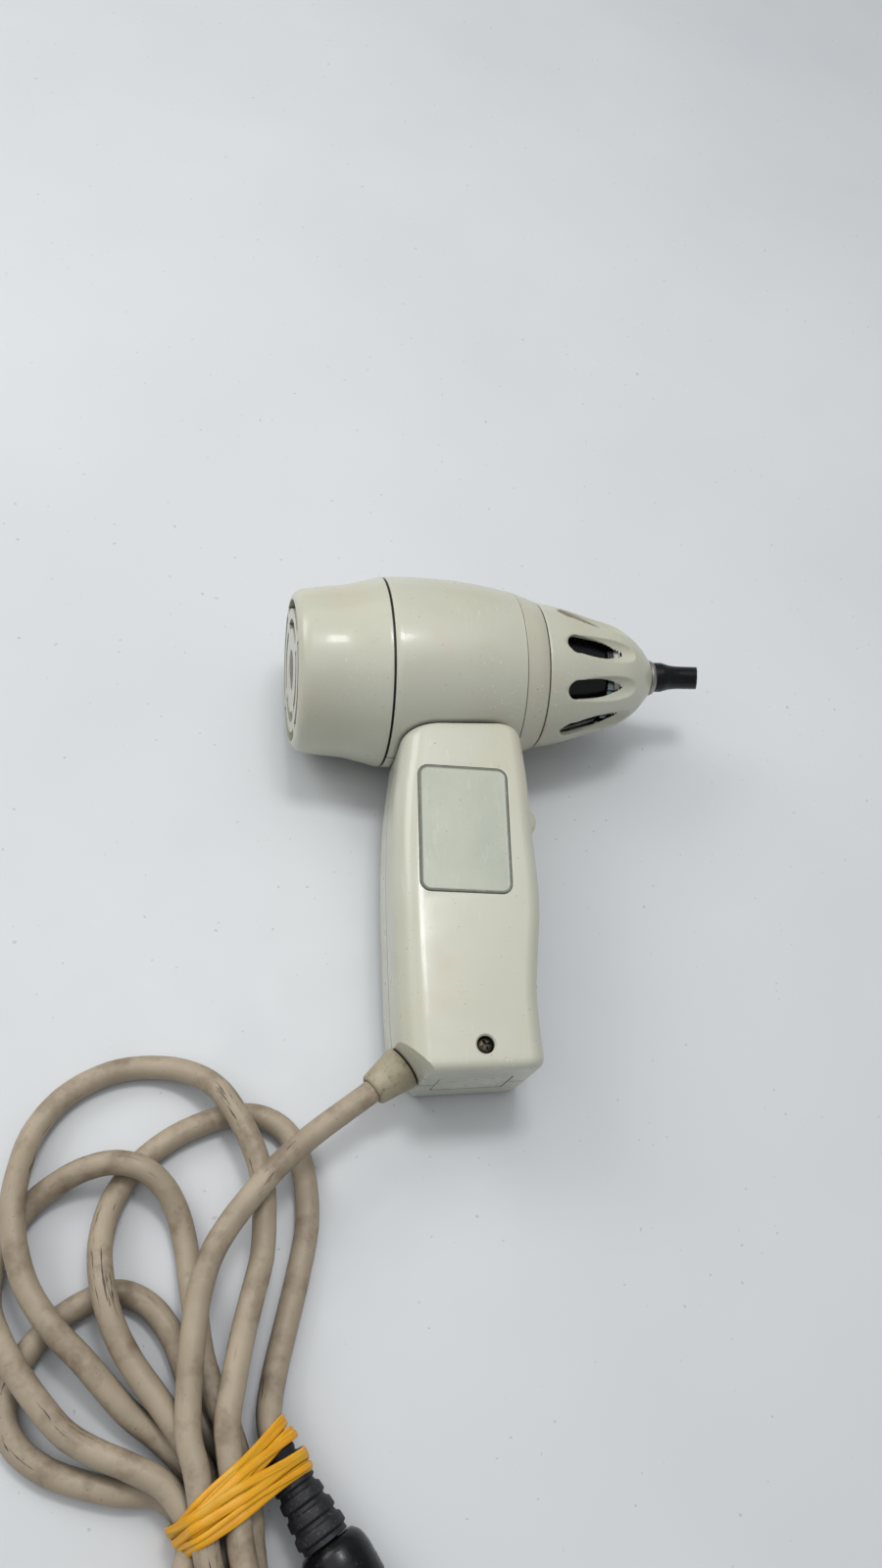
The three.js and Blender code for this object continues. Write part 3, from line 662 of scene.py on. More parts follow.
# ---------------------------------------------------------------- the lead
# The frame's own route in the lead's frame, with the points near the band moved by up to 5 mm:
# what is seen first, then how each strand goes through the band, round below it, and back.
LEAD = [
    (-53.6, -82.5, 17.7), (-61, -87.3, 17.9), (-71, -93.9, 17.9), (-80, -101, 17.8), (-88, -109, 17.7),
    (-94, -116, 17.7), (-98.5, -123, 17.7), (-101.4, -131, 17.7), (-103.2, -141, 17.7),
    (-104.3, -152, 17.6), (-104.6, -164.4, 17.6),
]
LOOP_A = [
    (-105.5, -169.3, 3.9), (-111.8, -163, 4.4), (-119, -157, 6.4), (-130, -144.6, 10), (-138, -136, 10.6),
    (-144.5, -126, 10.6), (-148, -115, 10.6), (-149, -105, 10.6), (-148, -96, 8.5), (-145, -85, 5),
    (-137, -75, 3.5), (-125, -69, 3.5), (-114, -68, 3.8), (-104, -70.6, 6.4), (-96.4, -76, 9.6),
    (-90.6, -84.6, 10.8), (-86, -95, 10.6), (-84, -104, 10.6), (-84, -113, 10.6), (-85, -123, 10.9),
    (-88, -133, 12.4), (-91, -143, 14.6), (-93.5, -153, 17), (-95.4, -163, 17.7),
]
LOOP_B = [
    (-103.6, -168, 10.6), (-108.4, -160, 10.6), (-113, -153.5, 10.6), (-118, -146.5, 10.6),
    (-123, -137, 10.6), (-126, -126, 10.6), (-126.6, -116, 8), (-124, -105, 4.6), (-118, -96, 3.5),
    (-109, -89, 3.5), (-100, -85, 3.5), (-91, -83, 3.5), (-83, -84, 3.5), (-76.5, -88.5, 3.5),
    (-73, -96, 3.5), (-71.6, -105, 3.5), (-72, -115, 3.5), (-75, -127, 3.5), (-79, -140, 3.6),
    (-82.6, -151.5, 5.6), (-84.6, -161, 9), (-83.6, -168.3, 10.6),
]
LOOP_C = [
    (-109.6, -174.6, 10.6), (-118, -169.4, 10.6), (-127, -165, 10.6), (-134, -160.4, 10.6),
    (-140.5, -153, 10.6), (-146, -145.5, 10.4), (-150.5, -138, 8.6), (-154, -129.5, 5.2),
    (-154, -121, 3.5), (-151, -112, 3.5),
    (-146, -105, 3.5), (-140, -100.4, 4.8), (-132, -97, 8.2), (-123.5, -96, 10.6), (-116, -98, 10.6),
    (-110.6, -102.4, 8.2), (-106.8, -109, 5), (-104.6, -118, 4), (-103.5, -127, 6.6), (-102.4, -136, 10),
    (-100.8, -147, 10.7), (-97.6, -156.5, 10.7), (-94.8, -163, 10.7),
]
LOOP_D = [
    (-110.6, -175.9, 3.6), (-121, -174, 3.6), (-131, -171, 3.5), (-139, -167.4, 3.5), (-145.6, -162, 3.5),
    (-149, -155, 3.5), (-147, -145.6, 3.5), (-141, -137, 3.5), (-132, -130.6, 3.5), (-122, -128, 3.5),
    (-114.4, -131.6, 3.5), (-108.6, -139, 3.5), (-105, -148, 3.5), (-102, -156.6, 4.1), (-99.8, -163.2, 4.7),
]
UNDER = [
    {  # from the lead to loop A: inside, upper layer, coming down on the way back
        "down": [(-102.8, -172, 17.6), (-101.4, -181, 17.5), (-100.4, -190.5, 17.1), (-96.8, -201, 14.8),
                 (-90, -214, 11.6), (-81.6, -228, 10.5)],
        "middle": (-99, -240), "radius": 21.1, "height": 10.4,
        "up": [(-118.6, -229, 9.4), (-113.5, -217, 7), (-104.5, -205, 4.6), (-98.2, -194, 3.8),
               (-97.2, -181, 3.7)],
    },
    {  # from loop A to loop C: outside, upper layer
        "down": [(-94.8, -170, 17.6), (-93.6, -179, 17.4), (-92.6, -190, 17.1), (-89.4, -201, 15.8),
                 (-82.8, -213, 13.2), (-74.4, -226.5, 11)],
        "middle": (-99, -240), "radius": 28, "height": 10.4,
        "up": [(-125.6, -228, 10.4), (-121.5, -216, 10.6), (-113.8, -204.5, 10.8), (-106.4, -194, 10.8),
               (-104.2, -184, 10.6)],
    },
    {  # from loop C to loop D: outside, lower layer
        "down": [(-92.6, -170, 10.7), (-90.4, -179, 10.6), (-89.8, -190, 10.5), (-88.2, -201, 9.2),
                 (-82.8, -213, 6.2), (-74.4, -226.5, 4)],
        "middle": (-99, -240), "radius": 28, "height": 3.5,
        "up": [(-126.2, -228, 3.5), (-122.8, -216, 3.5), (-114.2, -204.5, 3.6), (-106.2, -194, 3.6),
               (-104.4, -183.5, 3.6)],
    },
    {  # from loop D to loop B: inside, lower layer, rising on the way back
        "down": [(-95.5, -171, 3.9), (-90.8, -180, 3.5), (-90, -190, 3.5), (-91.5, -201, 3.5),
                 (-89.2, -214, 3.5), (-81.6, -228, 3.5)],
        "middle": (-97.5, -239), "radius": 19.6, "height": 3.5,
        "up": [(-113.4, -228, 3.6), (-106.5, -217, 5.6), (-99.5, -205, 8.8), (-97, -193, 10.4),
               (-97.2, -181, 10.5)],
    },
]


def around(under):
    """One fold below the band: down one side, half round, and up the other."""
    middle, radius, height = Vector(under["middle"]), under["radius"], under["height"]
    bend = []
    for k in range(7):
        angle = -math.pi * k / 6
        bend.append((middle.x + radius * math.cos(angle), middle.y + radius * math.sin(angle), height))
    return [*under["down"], *bend, *under["up"]]


def lead_route():
    """The whole lead's centreline in metres, from inside the strain relief to the connector."""
    inside = [TOOL @ (BOOT_ROOT + BOOT_WAY * s) for s in (2.5, 7)]
    route = [*LEAD, *around(UNDER[0]), *LOOP_A, *around(UNDER[1]), *LOOP_C, *around(UNDER[2]), *LOOP_D,
             *around(UNDER[3]), *LOOP_B]
    tail = [PLUG @ Vector((x, 0, 0)) for x in (5, 20)]
    return inside + [LEAD_FRAME @ Vector(p) for p in route] + tail


def lead():
    path = catmull(lead_route(), 0.0016)
    radius = CORD * MM / 2
    sides = 20
    outline = [(radius * math.cos(2 * math.pi * k / sides), radius * math.sin(2 * math.pi * k / sides))
               for k in range(sides)]
    mesh = swept(path, outline, carried_frames(path), "lead")
    solids = ["lead_start", "lead_loop_1", "lead_loop_2", "lead_loop_3", "lead_loop_4", "lead_hank"]
    obj = piece("lead", mesh, "tool", "beige", solids, Matrix.Identity(4), 180, [sheath()])
    return obj, path


def tie_point(s, t, z):
    """A place at the band: s across the strands, t along them, z up."""
    across = Vector((math.cos(TIE_TURN), math.sin(TIE_TURN), 0))
    along = Vector((math.sin(TIE_TURN), -math.cos(TIE_TURN), 0))
    return LEAD_FRAME @ (TIE_AT + across * s + along * t + Vector((0, 0, z)))


def bundle(t):
    """Where the outermost strands and the connector's tail are in the band: across, up, radius."""
    lean = 0.32 * (t - 7.8)
    return [(-10.6, 3.8, 3.3), (-10.9, 10.6, 3.3), (-6.8 - lean, 17.5, 3.3), (1.8 - lean, 17.5, 3.3),
            (14.6, 10.6, 4.7), (3, 3.8, 3.3)]


def hull(points):
    points = sorted(set(points))
    half = []
    for run in (points, points[::-1]):
        part = []
        for p in run:
            while len(part) > 1 and cross(part[-2], part[-1], p) <= 0:
                part.pop()
            part.append(p)
        half += part[:-1]
    return half


def cross(o, a, b):
    return (a[0] - o[0]) * (b[1] - o[1]) - (a[1] - o[1]) * (b[0] - o[0])


def band_line(t, margin):
    """The taut line round the bundle, margin outside it, as evenly spaced points."""
    dots = []
    for s, z, radius in bundle(t):
        for k in range(40):
            angle = 2 * math.pi * k / 40
            reach = radius + margin
            dots.append((s + reach * math.cos(angle), max(z + reach * math.sin(angle), 0.3 + margin)))
    corners = hull(dots)
    corners.append(corners[0])
    line = []
    for a, b in zip(corners, corners[1:]):
        a, b = Vector(a), Vector(b)
        count = max(1, round((b - a).length / 0.9))
        line += [a.lerp(b, k / count) for k in range(count)]
    return line


# Two groups of wraps: how many, the first one's place along the strands and their spacing, their
# slant and how far it strays, and the loosest one's margin.
TIE_GROUPS = [(5, 4.4, 1.05, -2.0, (-1.1, 1.1), 1.5), (6, 8.2, 1.0, 0.3, (-1.5, 1.2), 1.6)]
TIE_THICK = 0.42                  # half of the rubber's thickness
TIE_SIDES = 12


def tie_wraps():
    """Each wrap's place along the strands, slant, margin outside them and width."""
    rng = random.Random(4)
    wraps = []
    for count, first, step, slant, stray, loosest in TIE_GROUPS:
        for i in range(count):
            wraps.append((first + i * step, slant + rng.uniform(*stray), rng.uniform(0.4, loosest),
                          rng.uniform(1.3, 2.4)))
    return wraps


def wrap_points(index, t, slant, margin, width):
    """One wrap's points: its oval section, carried round the bundle."""
    angles = [2 * math.pi * k / TIE_SIDES for k in range(TIE_SIDES)]
    outline = [(math.cos(a) * width / 2, math.sin(a) * TIE_THICK) for a in angles]
    line = band_line(t, margin)
    points = []
    for i, p in enumerate(line):
        way = (line[(i + 1) % len(line)] - line[i - 1]).normalized()
        out = Vector((way.y, -way.x))
        lean = slant * p.x / 15 + 0.3 * math.sin(i * 0.19 + index * 1.7)
        for a, b in outline:
            q = p + out * b
            points.append(tie_point(q.x, t + lean + a, q.y))
    return points


def rubber_tie():
    """One rubber band, wrapped many times in two groups, which draw together on one side."""
    vertices, faces, uvs = [], [], []
    for index, wrap in enumerate(tie_wraps()):
        first = len(vertices)
        vertices += wrap_points(index, *wrap)
        count = (len(vertices) - first) // TIE_SIDES
        for i in range(count):
            here, there = first + i * TIE_SIDES, first + (i + 1) % count * TIE_SIDES
            for k in range(TIE_SIDES):
                n = (k + 1) % TIE_SIDES
                faces.append([here + k, here + n, there + n, there + k])
                corners = ((i, k), (i, k + 1), (i + 1, k + 1), (i + 1, k))
                uvs.append([(u * 0.0009, v / TIE_SIDES) for u, v in corners])
    mesh = mesh_of(vertices, faces, "rubber_tie")
    layer = mesh.uv_layers.new(name="along")
    for face, corners in zip(mesh.polygons, uvs):
        for loop_index, uv in zip(face.loop_indices, corners):
            layer.data[loop_index].uv = uv
    return piece("rubber_tie", outward(mesh), "tool", "band", ["lead_tie"], Matrix.Identity(4), 60)


# ---------------------------------------------------------------- connector on the lead
def connector():
    bore = CORD / 2 + 0.05
    profile = [(0, bore), (0, 4.0, 0.3), (1.4, 4.5, 0.4)]
    for i in range(5):
        x, radius = 2.6 + i * 4.2, 4.7 + i * 0.42
        profile += [(x, radius - 0.7, 0.3), (x + 0.4, radius, 0.4), (x + 2.8, radius + 0.2, 0.4),
                    (x + 3.2, radius - 0.6, 0.3)]
    profile += [(23.9, 6.0, 0.2), (23.9, bore)]
    relief = piece("connector_tail", ring(fillet(profile), 64), "tool", "rubber", ["connector_relief"], PLUG)
    body = ring(fillet([
        (24.3, bore), (24.3, 6.9, 0.5), (26, 8.4, 1), (29, 9, 1), (36, 9, 0.3), (36.3, 8.7, 0.2),
        (37.2, 8.7, 0.2), (37.5, 9, 0.3), (48, 9, 0.3), (48, 7.6, 0.3), (66, 7.6, 0.4),
        (66, 6.9, 0.2), (50, 6.9), (50, bore),
    ]), 72)
    shell = piece("connector_shell", body, "tool", "black", ["connector_body"], PLUG)
    lock = ring(fillet([(48.4, 8), (48.4, 10.2, 0.6), (62, 10.2, 0.6), (62, 8)]), 96)
    grooves = [moved(rod(50, 63, 0.75, 16), shift(0, 0, 10.55), turn(i * 15, "X")) for i in range(24)]
    collar = piece("connector_lock_ring", cut(lock, *grooves), "lock_ring", "black",
                   ["connector_ring"], PLUG)
    face = rod(50.4, 54, 6.5, 64)
    insert = piece("connector_face", face, "tool", "black", ["connector_insert"], PLUG)
    pins = combine(pin(0), [("UNION", pin(i)) for i in range(1, 6)])
    contacts = piece("connector_pins", pins, "tool", "brass", (), PLUG)
    return [relief, shell, collar, insert, contacts]


def pin(index):
    profile = fillet([(53.8, 0), (53.8, 0.9), (62, 0.9, 0.6), (63, 0.35, 0.3), (63, 0)])
    return moved(lathe(profile, 20), shift(0, 0, 4), turn(index * 60, "X"))


lead_piece, lead_path = lead()
tie_piece = rubber_tie()
plug_pieces = connector()


# ---------------------------------------------------------------- grip and barrel
GRIP_REAR = smooth2d([
    (-20, 4.5), (-33, 2.6), (-50, -0.6), (-73, -2.9), (-97, -4.1), (-115, -4.7), (-136, -4.8)])
GRIP_FRONT = smooth2d([
    (-20, 40.4), (-33, 40.7), (-46, 41), (-62, 40.6), (-80, 40.4), (-89, 39.7), (-98, 38.2), (-106, 36.9),
    (-114, 35.9), (-136, 35.8)])


def edge_at(points, y):
    for (y0, x0), (y1, x1) in zip(points, points[1:]):
        if y1 <= y:
            return x0 + (x1 - x0) * (y - y0) / (y1 - y0)
    return points[-1][1]


def pull(distance, radius):
    """How far a rounded end is drawn in at a distance from it."""
    if distance >= radius:
        return 0
    return radius - math.sqrt(radius ** 2 - (radius - distance) ** 2)


def grip_solid(inset, top, bottom, ends):
    """The grip as a skin over rounded sections. ends gives two radii for the top and two for the
    bottom: of the front and rear edges there, and of the flat sides' edges."""
    near = [0, 0.12, 0.4, 0.8, 1.3, 2, 2.8, 3.8, 5]
    stations = [top - d for d in near]
    y = top - 7
    while y > bottom + 6.5:
        stations.append(y)
        y -= 3
    stations += [bottom + d for d in near[::-1]]
    sections = []
    for y in stations:
        drawn_x = pull(top - y, ends[0][0]) + pull(y - bottom, ends[1][0])
        drawn_z = pull(top - y, ends[0][1]) + pull(y - bottom, ends[1][1])
        rear = edge_at(GRIP_REAR, y) + inset + drawn_x
        front = edge_at(GRIP_FRONT, y) - inset - drawn_x
        half = GRIP_THICK / 2 - inset - drawn_z
        section = []
        for sx, sz, start in ((1, -1, -90), (1, 1, 0), (-1, 1, 90), (-1, -1, 180)):
            radius = (FRONT_ROUND if sx > 0 else REAR_ROUND) - inset
            for k in range(11):
                angle = math.radians(start + 9 * k)
                x = (front if sx > 0 else rear) - sx * radius + radius * math.cos(angle)
                section.append((x, y, sz * (half - radius) + radius * math.sin(angle)))
        sections.append(section)
    return loft(sections)


def label_outline(margin):
    return rounded_outline(LABEL_SIZE[0] + 2 * margin, LABEL_SIZE[1] + 2 * margin, 3 + margin)


def on_label(mesh, z):
    return moved(mesh, Matrix.Rotation(LABEL_TURN, 4, "Z"), shift(LABEL_AT.x, LABEL_AT.y, z))


def boot_corner():
    """What is cut from the grip's corner to leave a shallow dome round the strain relief."""
    dome = [(0, 12.6), (-0.2, 14.4), (-0.7, 16.4), (-1.5, 18.4), (-2.6, 21), (-4.4, 24.4), (-9.5, 32)]
    return moved(lathe([(0, 0), *dome, (-9.5, 40), (20, 40), (20, 0)], 96), ON_LEAD)


def grip_cavity():
    """The grip's inside, with its corner left solid behind the strain relief."""
    cavity = grip_solid(WALL, GRIP_TOP - 2.6, GRIP_BOTTOM + 2.4, ((1, 1), (1, 1)))
    corner = block((20, 40, 60), (WALL - 10, 0, 0))
    facing = math.degrees(math.atan2(-BOOT_WAY.y, -BOOT_WAY.x))
    return cut(cavity, moved(corner, turn(facing, "Z"), Matrix.Translation(BOOT_ROOT)))


def housing_solid():
    """Barrel and grip in one, hollow, with holes for the neck, trigger, lead and sticker."""
    outer = [(0.3, 30.4), (0.4, 30.68), (0.7, 30.85), *[p for p in smooth2d(BARREL, 1.5) if p[0] > 2]]
    barrel = lathe([(0.3, 0), *outer, (42.7, 27.1), (42.7, 0)], 192)
    inner = [(x, r - WALL) for x, r in BARREL[1:-1]]
    bore = lathe([(-1, 0), (-1, 28.7), *inner, (44, 25.1), (44, 0)], 96)
    grip = grip_solid(0, GRIP_TOP, GRIP_BOTTOM, ((5, 2.1), (3.4, 2.6)))
    neck = block((30, 16, 20), (21, -28, 0))
    trigger_hole = prism(rounded_outline(13, 13.2, 3), 33, 50)
    holes = [
        bore, grip_cavity(), neck, moved(trigger_hole, turn(90, "Y"), shift(0, TRIGGER_Y)), boot_corner(),
        moved(rod(-20, 20, 5), ON_LEAD),
        moved(rod(-5.8, -WALL - 0.3, 6.3), ON_LEAD),
        block((21.6, 1.4, 14.6), (17.5, GRIP_BOTTOM, 0)),
    ]
    return combine(barrel, [("UNION", grip), *[("DIFFERENCE", hole) for hole in holes]])


def housing():
    body = housing_solid()
    away, half = 45, (140, 280, 90)
    chamfer = lathe([(17.4, 0), (17.4, 2.4), (18.4, 3.4), (18.4, 0)], 48)
    right = cut(
        body.copy(), block(half, (20, -60, SPLIT - away)),
        on_label(prism(label_outline(0.3), 0, 4), LABEL_SEAT),
        upright(rod(HEAD_SEAT, 20, 2.55), SCREW_AT), upright(chamfer, SCREW_AT))
    left = cut(body, block(half, (20, -60, away - SPLIT)))
    piece("shell_right", right, "tool", "ivory", ["housing_right"])
    piece("shell_left", left, "tool", "ivory", ["housing_left"])


def grip_screw():
    """The cross-headed screw at the foot of the grip, deep in its hole."""
    head = fillet([(-24, 0), (-24, 1.15), (0.3, 1.15), (0.3, 2.35, 0.2), (1.4, 2.35, 0.5),
                   (2.1, 1.4, 0.6), (2.2, 0)])
    wings = []
    for degrees in (22, 112):
        wing = prism(rounded_outline(3.1, 0.75, 0.3, 4), HEAD_SEAT + 1.1, HEAD_SEAT + 4)
        wings.append(moved(wing, turn(degrees, "Z"), shift(SCREW_AT.x, SCREW_AT.y)))
    screw = cut(upright(lathe(head, 64), SCREW_AT, HEAD_SEAT), *wings)
    dark = metal("screw_steel", "6a6256", "2c2822", 0.45, (900, 900, 90))
    piece("grip_screw", screw, "tool", "steel", ["housing_screw_1"], finishes=[dark])


def label():
    """The blank plate: a grey-green field with a dark frame line just inside its edge."""
    rings = []
    for margin, height in ((0, 0), (0, 0.62), (-0.12, 0.7), (-0.62, 0.7), (-0.7, 0.66), (-1.0, 0.66)):
        rings.append([(x, y, height) for x, y in label_outline(margin)])
    mesh = on_label(loft(rings), LABEL_SEAT + 0.1)
    border_faces = 4 * len(rings[0])
    obj = piece("label_plate_blank", mesh, "tool", "plate", ["label_plate"],
                finishes=[FINISHES["plate"], plate_border()])
    for index, face in enumerate(obj.data.polygons):
        face.material_index = 1 if index < border_faces else 0


def end_sticker():
    outline = rounded_outline(21, 14, 0.9, 5)
    mesh = moved(prism(outline, -0.15, 0.15), turn(90, "X"), shift(17.5, GRIP_BOTTOM + 0.2))
    piece("end_sticker", mesh, "tool", "sticker", ["rating_sticker"])


def trigger():
    """The thumb-wide trigger, its face crowned and its edges rounded."""
    outline = [(36.8, -6.2), (41.2, -6.2)]
    for k in range(1, 24):
        t = k / 24
        x = 41.2 * (1 - t) ** 2 + 49.4 * 2 * t * (1 - t) + 41.2 * t * t
        outline.append((x, -6.2 + 12.4 * t))
    outline += [(41.2, 6.2), (36.8, 6.2)]
    sections = []
    for z in (-6, -5.9, -5.6, -5.1, -4.4, -3, 0, 3, 4.4, 5.1, 5.6, 5.9, 6):
        drawn = pull(6 - abs(z), 1.8)
        sections.append([(36.8 + (x - 36.8) * (1 - drawn / 9), TRIGGER_Y + y * (1 - drawn / 7), z)
                         for x, y in outline])
    flange = block((2.2, 17, 16), (36.5, TRIGGER_Y, 0))
    stem = moved(rod(32, 35.9, 1.7, 32), shift(0, TRIGGER_Y))
    mesh = combine(loft(sections), [("UNION", flange), ("UNION", stem)])
    piece("trigger_pad", mesh, "trigger", "ivory_dark", ["trigger"], angle=40)


# ---------------------------------------------------------------- rear cap
def seam_line():
    """A dark ring in the joint between cap and barrel: painted shade in the gap."""
    dirt = ring([(-0.28, 28.32), (-0.28, 29.9), (0.28, 29.9), (0.28, 28.32)], 160)
    piece("cap_joint_shade", dirt, "tool", "rubber")


def arc_slot(inner, outer, start, end, low, high):
    steps = 24
    outline = []
    for k in range(steps + 1):
        angle = start + (end - start) * k / steps
        outline.append((outer * math.cos(angle), outer * math.sin(angle)))
    for k in range(steps + 1):
        angle = end + (start - end) * k / steps
        outline.append((inner * math.cos(angle), inner * math.sin(angle)))
    return loft([[(x, a, b) for a, b in outline] for x in (low, high)])


def rear_cap():
    side_line = smooth2d([(-25.2, 26.3), (-20, 27), (-12, 27.9), (-4, 29.9), (-0.8, 30.75)], 1)
    back = fillet([(CAP_BACK, 1), (CAP_BACK, 23.6, 1.2), (-27.4, 25.4, 1.4), (-25.2, 26.3)])
    inside = [(-0.3, 28.3), (4, 28.3), (4, 26.8), (-25, 24.2), (-26.6, 22.4), (-26.6, 1)]
    profile = [*back[:-1], *side_line, (-0.45, 30.72), (-0.3, 30.4), *inside]
    slots = []
    for inner, outer in ((19.8, 22.8), (13.5, 16.5)):
        half = math.asin(3.3 / 2 / ((inner + outer) / 2))
        for i in range(4):
            start, end = i * math.pi / 2 + half, (i + 1) * math.pi / 2 - half
            slots.append(arc_slot(inner, outer, start, end, CAP_BACK - 1, -25.5))
    recess = lathe(fillet([(CAP_BACK - 1, 0), (CAP_BACK - 1, 7), (CAP_BACK, 6.9),
                           (CAP_BACK + 0.4, 6.5, 0.2), (CAP_BACK + 1.3, 6.5), (CAP_BACK + 1.3, 0)]), 96)
    hole = rod(CAP_BACK - 1, -25, 5.2, 64)
    piece("cap_shell", cut(ring(profile, 192), *slots, recess, hole), "tool", "ivory", ["rear_cap"])
    weave = lathe(fillet([(CAP_BACK + 0.35, 0), (CAP_BACK + 0.35, 5.9, 0.3),
                          (CAP_BACK + 0.7, 6.2, 0.2), (CAP_BACK + 1, 6.2), (CAP_BACK + 1, 0)]), 96)
    piece("cap_mesh", weave, "tool", "mesh", ["intake_mesh"])


# ---------------------------------------------------------------- nose
VENTS = 9
VENT_START = 1


def front_collar():
    profile = [(SEAM_A, 27.0), (SEAM_A + 0.3, 27.22), (47, 25.9), (SEAM_B - 0.5, 24.6), (SEAM_B - 0.2, 24.3),
               (SEAM_B - 0.2, 22.6), (38, 22.6), (38, 24.4), (SEAM_A, 24.4)]
    piece("collar_shell", ring(profile, 192), "tool", "ivory_dark", ["front_collar"])


def teardrop(length, radius, low, high):
    start = math.pi * 0.42
    outline = []
    for k in range(21):
        angle = start + (2 * math.pi - 2 * start) * k / 20
        outline.append((radius * math.cos(angle), radius * math.sin(angle)))
    for side_sign in (-1, 1):
        for k in range(1, 14):
            t = k / 14 if side_sign < 0 else 1 - k / 14
            x = radius * math.cos(start) * (1 - t) ** 2 + 0.93 * length * 2 * t * (1 - t) + length * t * t
            y = radius * math.sin(start) * (1 - t) ** 2 + 1.1 * radius * 2 * t * (1 - t)
            outline.append((x, side_sign * y))
        if side_sign < 0:
            outline.append((length, 0))
    return prism(outline, low, high)


def ellipsoid(size, sides=32, rows=20):
    profile = [(-math.cos(math.pi * k / rows), math.sin(math.pi * k / rows)) for k in range(rows + 1)]
    return moved(lathe(profile, sides), Matrix.Diagonal((*size, 1)))


def nose_cone():
    start = SEAM_B + 0.1
    outer = smooth2d([(start + 0.4, 24.3), (60, 22.7), (70, 19.9), (76, 18.3), (80.5, 16.7), (84.5, 14.3),
                      (87.6, 11.8), (90, 9.2), (NOSE_TIP - 0.2, 6.6)], 0.9)
    inner = [(86.6, 5.95), (83.6, 11.4), (79, 15.1), (70, 17.9), (60, 20.7), (57, 21.6), (57, 22.2)]
    profile = [(start, 24.0), *outer, (NOSE_TIP, 6.2), (NOSE_TIP, 5.95), *inner, (start, 22.2)]
    cutters = []
    for i in range(VENTS):
        angle = VENT_START + i * 360 / VENTS
        slot = moved(teardrop(15.1, 3.3, 12, 26), shift(61.2), turn(angle, "X"))
        flute = moved(ellipsoid((17, 4.5, 3.3)), turn(18, "Y"), shift(70.2, 0, 21), turn(angle, "X"))
        cutters += [("DIFFERENCE", flute), ("DIFFERENCE", slot)]
    mesh = combine(ring(profile, 192), cutters, [
        ("REMESH", {"mode": "VOXEL", "voxel_size": 0.3}),
        ("SMOOTH", {"factor": 0.5, "iterations": 5}),
    ])
    piece("nose_shell", mesh, "tool", "ivory", ["nose_cone"], angle=60)


def vent_shade_cone():
    """A thin black cone from the lamp's reflector to the filter, just behind the vents: a dark sheet that paints
    shade into what is seen through them.
    """
    cone = ring([(55.9, 19.3), (55.9, 20.2), (58, 19.4), (73.1, 15.0), (73.1, 14.2), (58, 18.6)], 128)
    piece("vent_shade_cone", cone, "tool", "black")


def light_path():
    nose = fillet([(82, 5.05), (82, 5.6), (NOSE_TIP + 0.3, 5.6), (NOSE_TIP + 0.3, 5.98, 0.15),
                   (93.5, 5.98, 0.4), (94.4, 5.4, 0.2), (94.4, 5.05)])
    piece("nose_metal_ring", ring(nose, 128), "tool", "aluminium", ["nose_ring"])
    outside = lathe(fillet([
        (81, 0), (81, 4.2), (94.7, 4.2), (94.7, 5, 0.3), (97.5, 5, 0.5), (98.2, 4.85, 0.6),
        (100.4, 4.2, 1.2), (103, 3.88, 1.5), (113, 3.82), (113, 0)]), 96)
    sleeve = cut(outside, rod(79, 115, 3.1), slant(110.9))
    piece("guide_sleeve", moved(sleeve, shift(0, GUIDE_OFFSET)), "guide", "black", ["light_guide"])
    core = cut(rod(80.4, 114, 2.8, 64), slant(110.5))
    piece("guide_rod", moved(core, shift(0, GUIDE_OFFSET)), "guide", "glass", ["guide_core"])


def slant(x):
    return moved(block((20, 40, 40), (10, 0, 0)), turn(-18, "Y"), turn(30, "X"), shift(x))


# ---------------------------------------------------------------- strain relief
def strain_relief():
    hole = CORD / 2 + 0.12
    profile = fillet([
        (-5.4, hole), (-5.4, 5.9, 0.3), (-2.9, 5.9, 0.2), (-2.9, 4.7), (GAP, 4.7), (GAP, 6.4, 0.4),
        (1.5, 6.4, 0.7), (9.2, 5.0, 0.5), (BOOT_LENGTH, 4.75, 0.5), (BOOT_LENGTH + 0.6, 4.2, 0.3),
        (BOOT_LENGTH + 0.6, hole)])
    piece("lead_boot", moved(ring(profile, 96), ON_LEAD), "tool", "beige", ["strain_relief"])


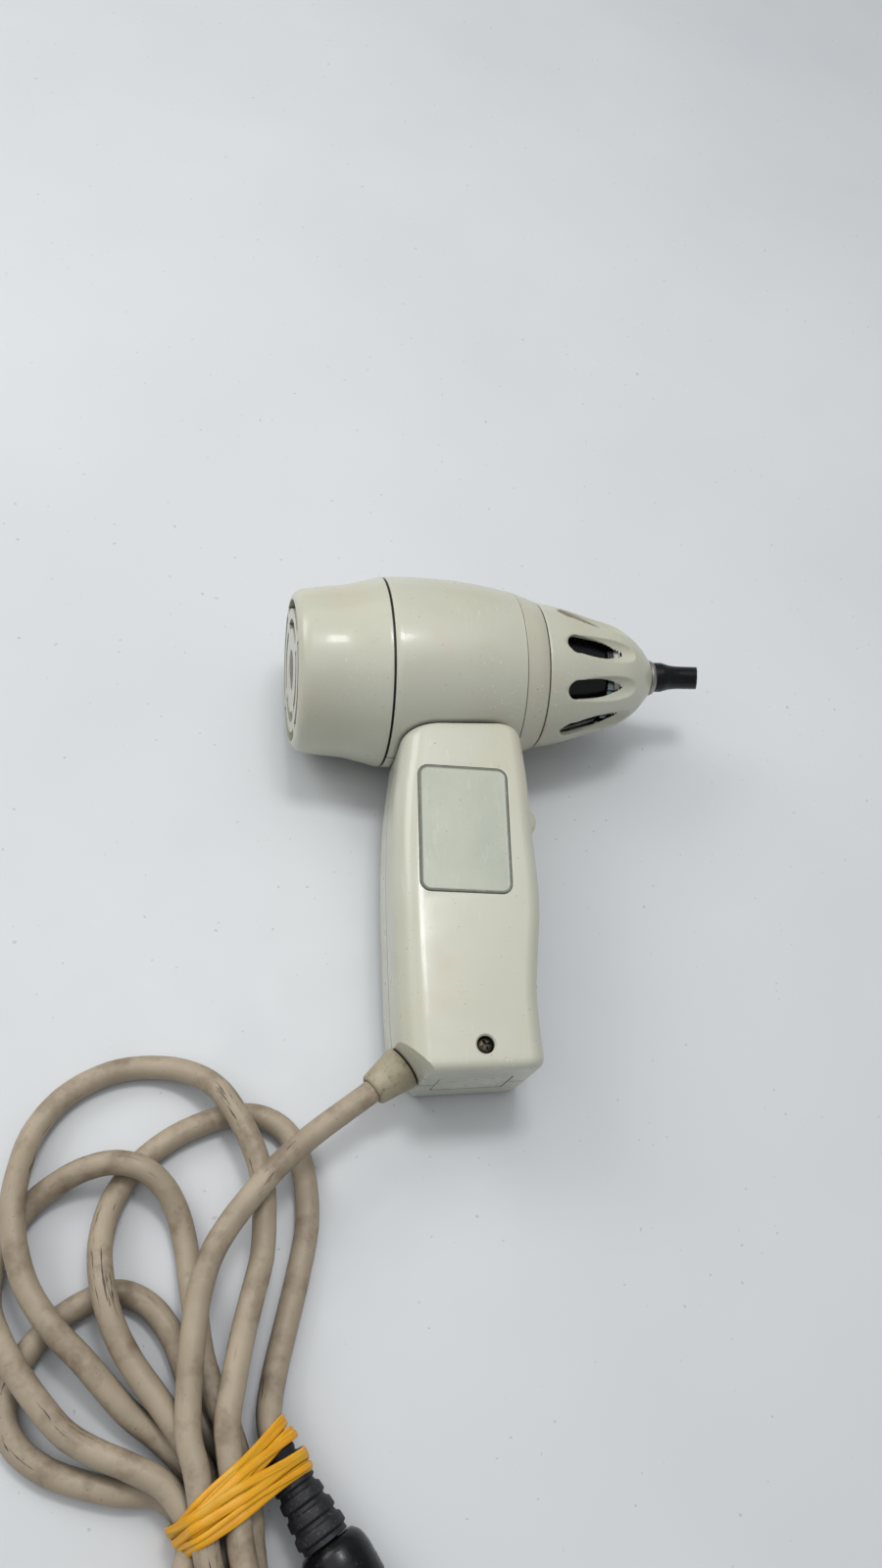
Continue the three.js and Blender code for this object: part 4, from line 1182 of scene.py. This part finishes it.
# ---------------------------------------------------------------- pieces kept from the frame
def keep_inner():
    """Puts the finishes on the frame's own pieces, all but the outer shells, which aren't shown."""
    slots = {part["node"]: part["material_slot"] for part in frame["record"]["subparts"]}
    shells = {"housing_right", "housing_left", "rear_cap", "intake_mesh", "front_collar", "nose_cone"}
    for name, obj in frame["nodes"].items():
        if name in shells:
            continue
        obj.data.materials.clear()
        obj.data.materials.append(FINISHES[slots[name]])


housing()
grip_screw()
label()
end_sticker()
trigger()
rear_cap()
seam_line()
front_collar()
nose_cone()
vent_shade_cone()
light_path()
strain_relief()
keep_inner()


# ---------------------------------------------------------------- floor and light
FLOOR = 1.6                            # from the middle to each edge


def floor():
    corners = [(-FLOOR, -FLOOR, 0), (FLOOR, -FLOOR, 0), (FLOOR, FLOOR, 0), (-FLOOR, FLOOR, 0)]
    mesh = mesh_of(corners, [[0, 1, 2, 3]], "floor")
    f = Finish("pale_floor", ior=1.45)
    tone = f.mix(f.band(f.noise(6, 3), 0.35, 0.7), "d4d7d9", "ced1d4")
    specks = f.band(f.noise(420, 1, 0.4), 0.76, 0.78, 0, 0.35)
    f.paint(f.mix(specks, tone, "8d8f90"), painted_shade=False)
    f.gloss(60, 3, 0.42, 0.55)
    mesh.materials.append(f.material)
    shown("floor", mesh)


def area_light(name, at, aim, size, power, tint):
    data = bpy.data.lights.new(name, "AREA")
    data.shape = "RECTANGLE"
    data.size, data.size_y = size
    data.energy = power
    data.color = tint
    obj = shown(name, data)
    obj.location = at
    obj.rotation_euler = (Vector(aim) - Vector(at)).to_track_quat("-Z", "Y").to_euler()


PANE = (-0.029, 0.146, 0.801)          # a small window, seen in the rear cap


def lights():
    world = bpy.data.worlds.new("studio")
    world.use_nodes = True
    background = world.node_tree.nodes["Background"]
    background.inputs["Color"].default_value = (0.96, 0.98, 1.0, 1)
    background.inputs["Strength"].default_value = 0.33
    bpy.context.scene.world = world
    bpy.context.scene.view_settings.view_transform = "Standard"
    area_light("ceiling", (-0.4, 0.34, 1.35), (-0.05, 0.0, 0), (2.3, 2.2), 13.6, (0.99, 0.99, 1.0))
    area_light("window", (-0.8, 0.6, 0.7), (-0.06, 0.02, 0.03), (0.5, 0.5), 3.4, (1.0, 0.99, 0.96))
    area_light("pane", PANE, (-0.056, 0.05, 0.05), (0.2, 0.13), 1.6, (1, 1, 1))


floor()
lights()
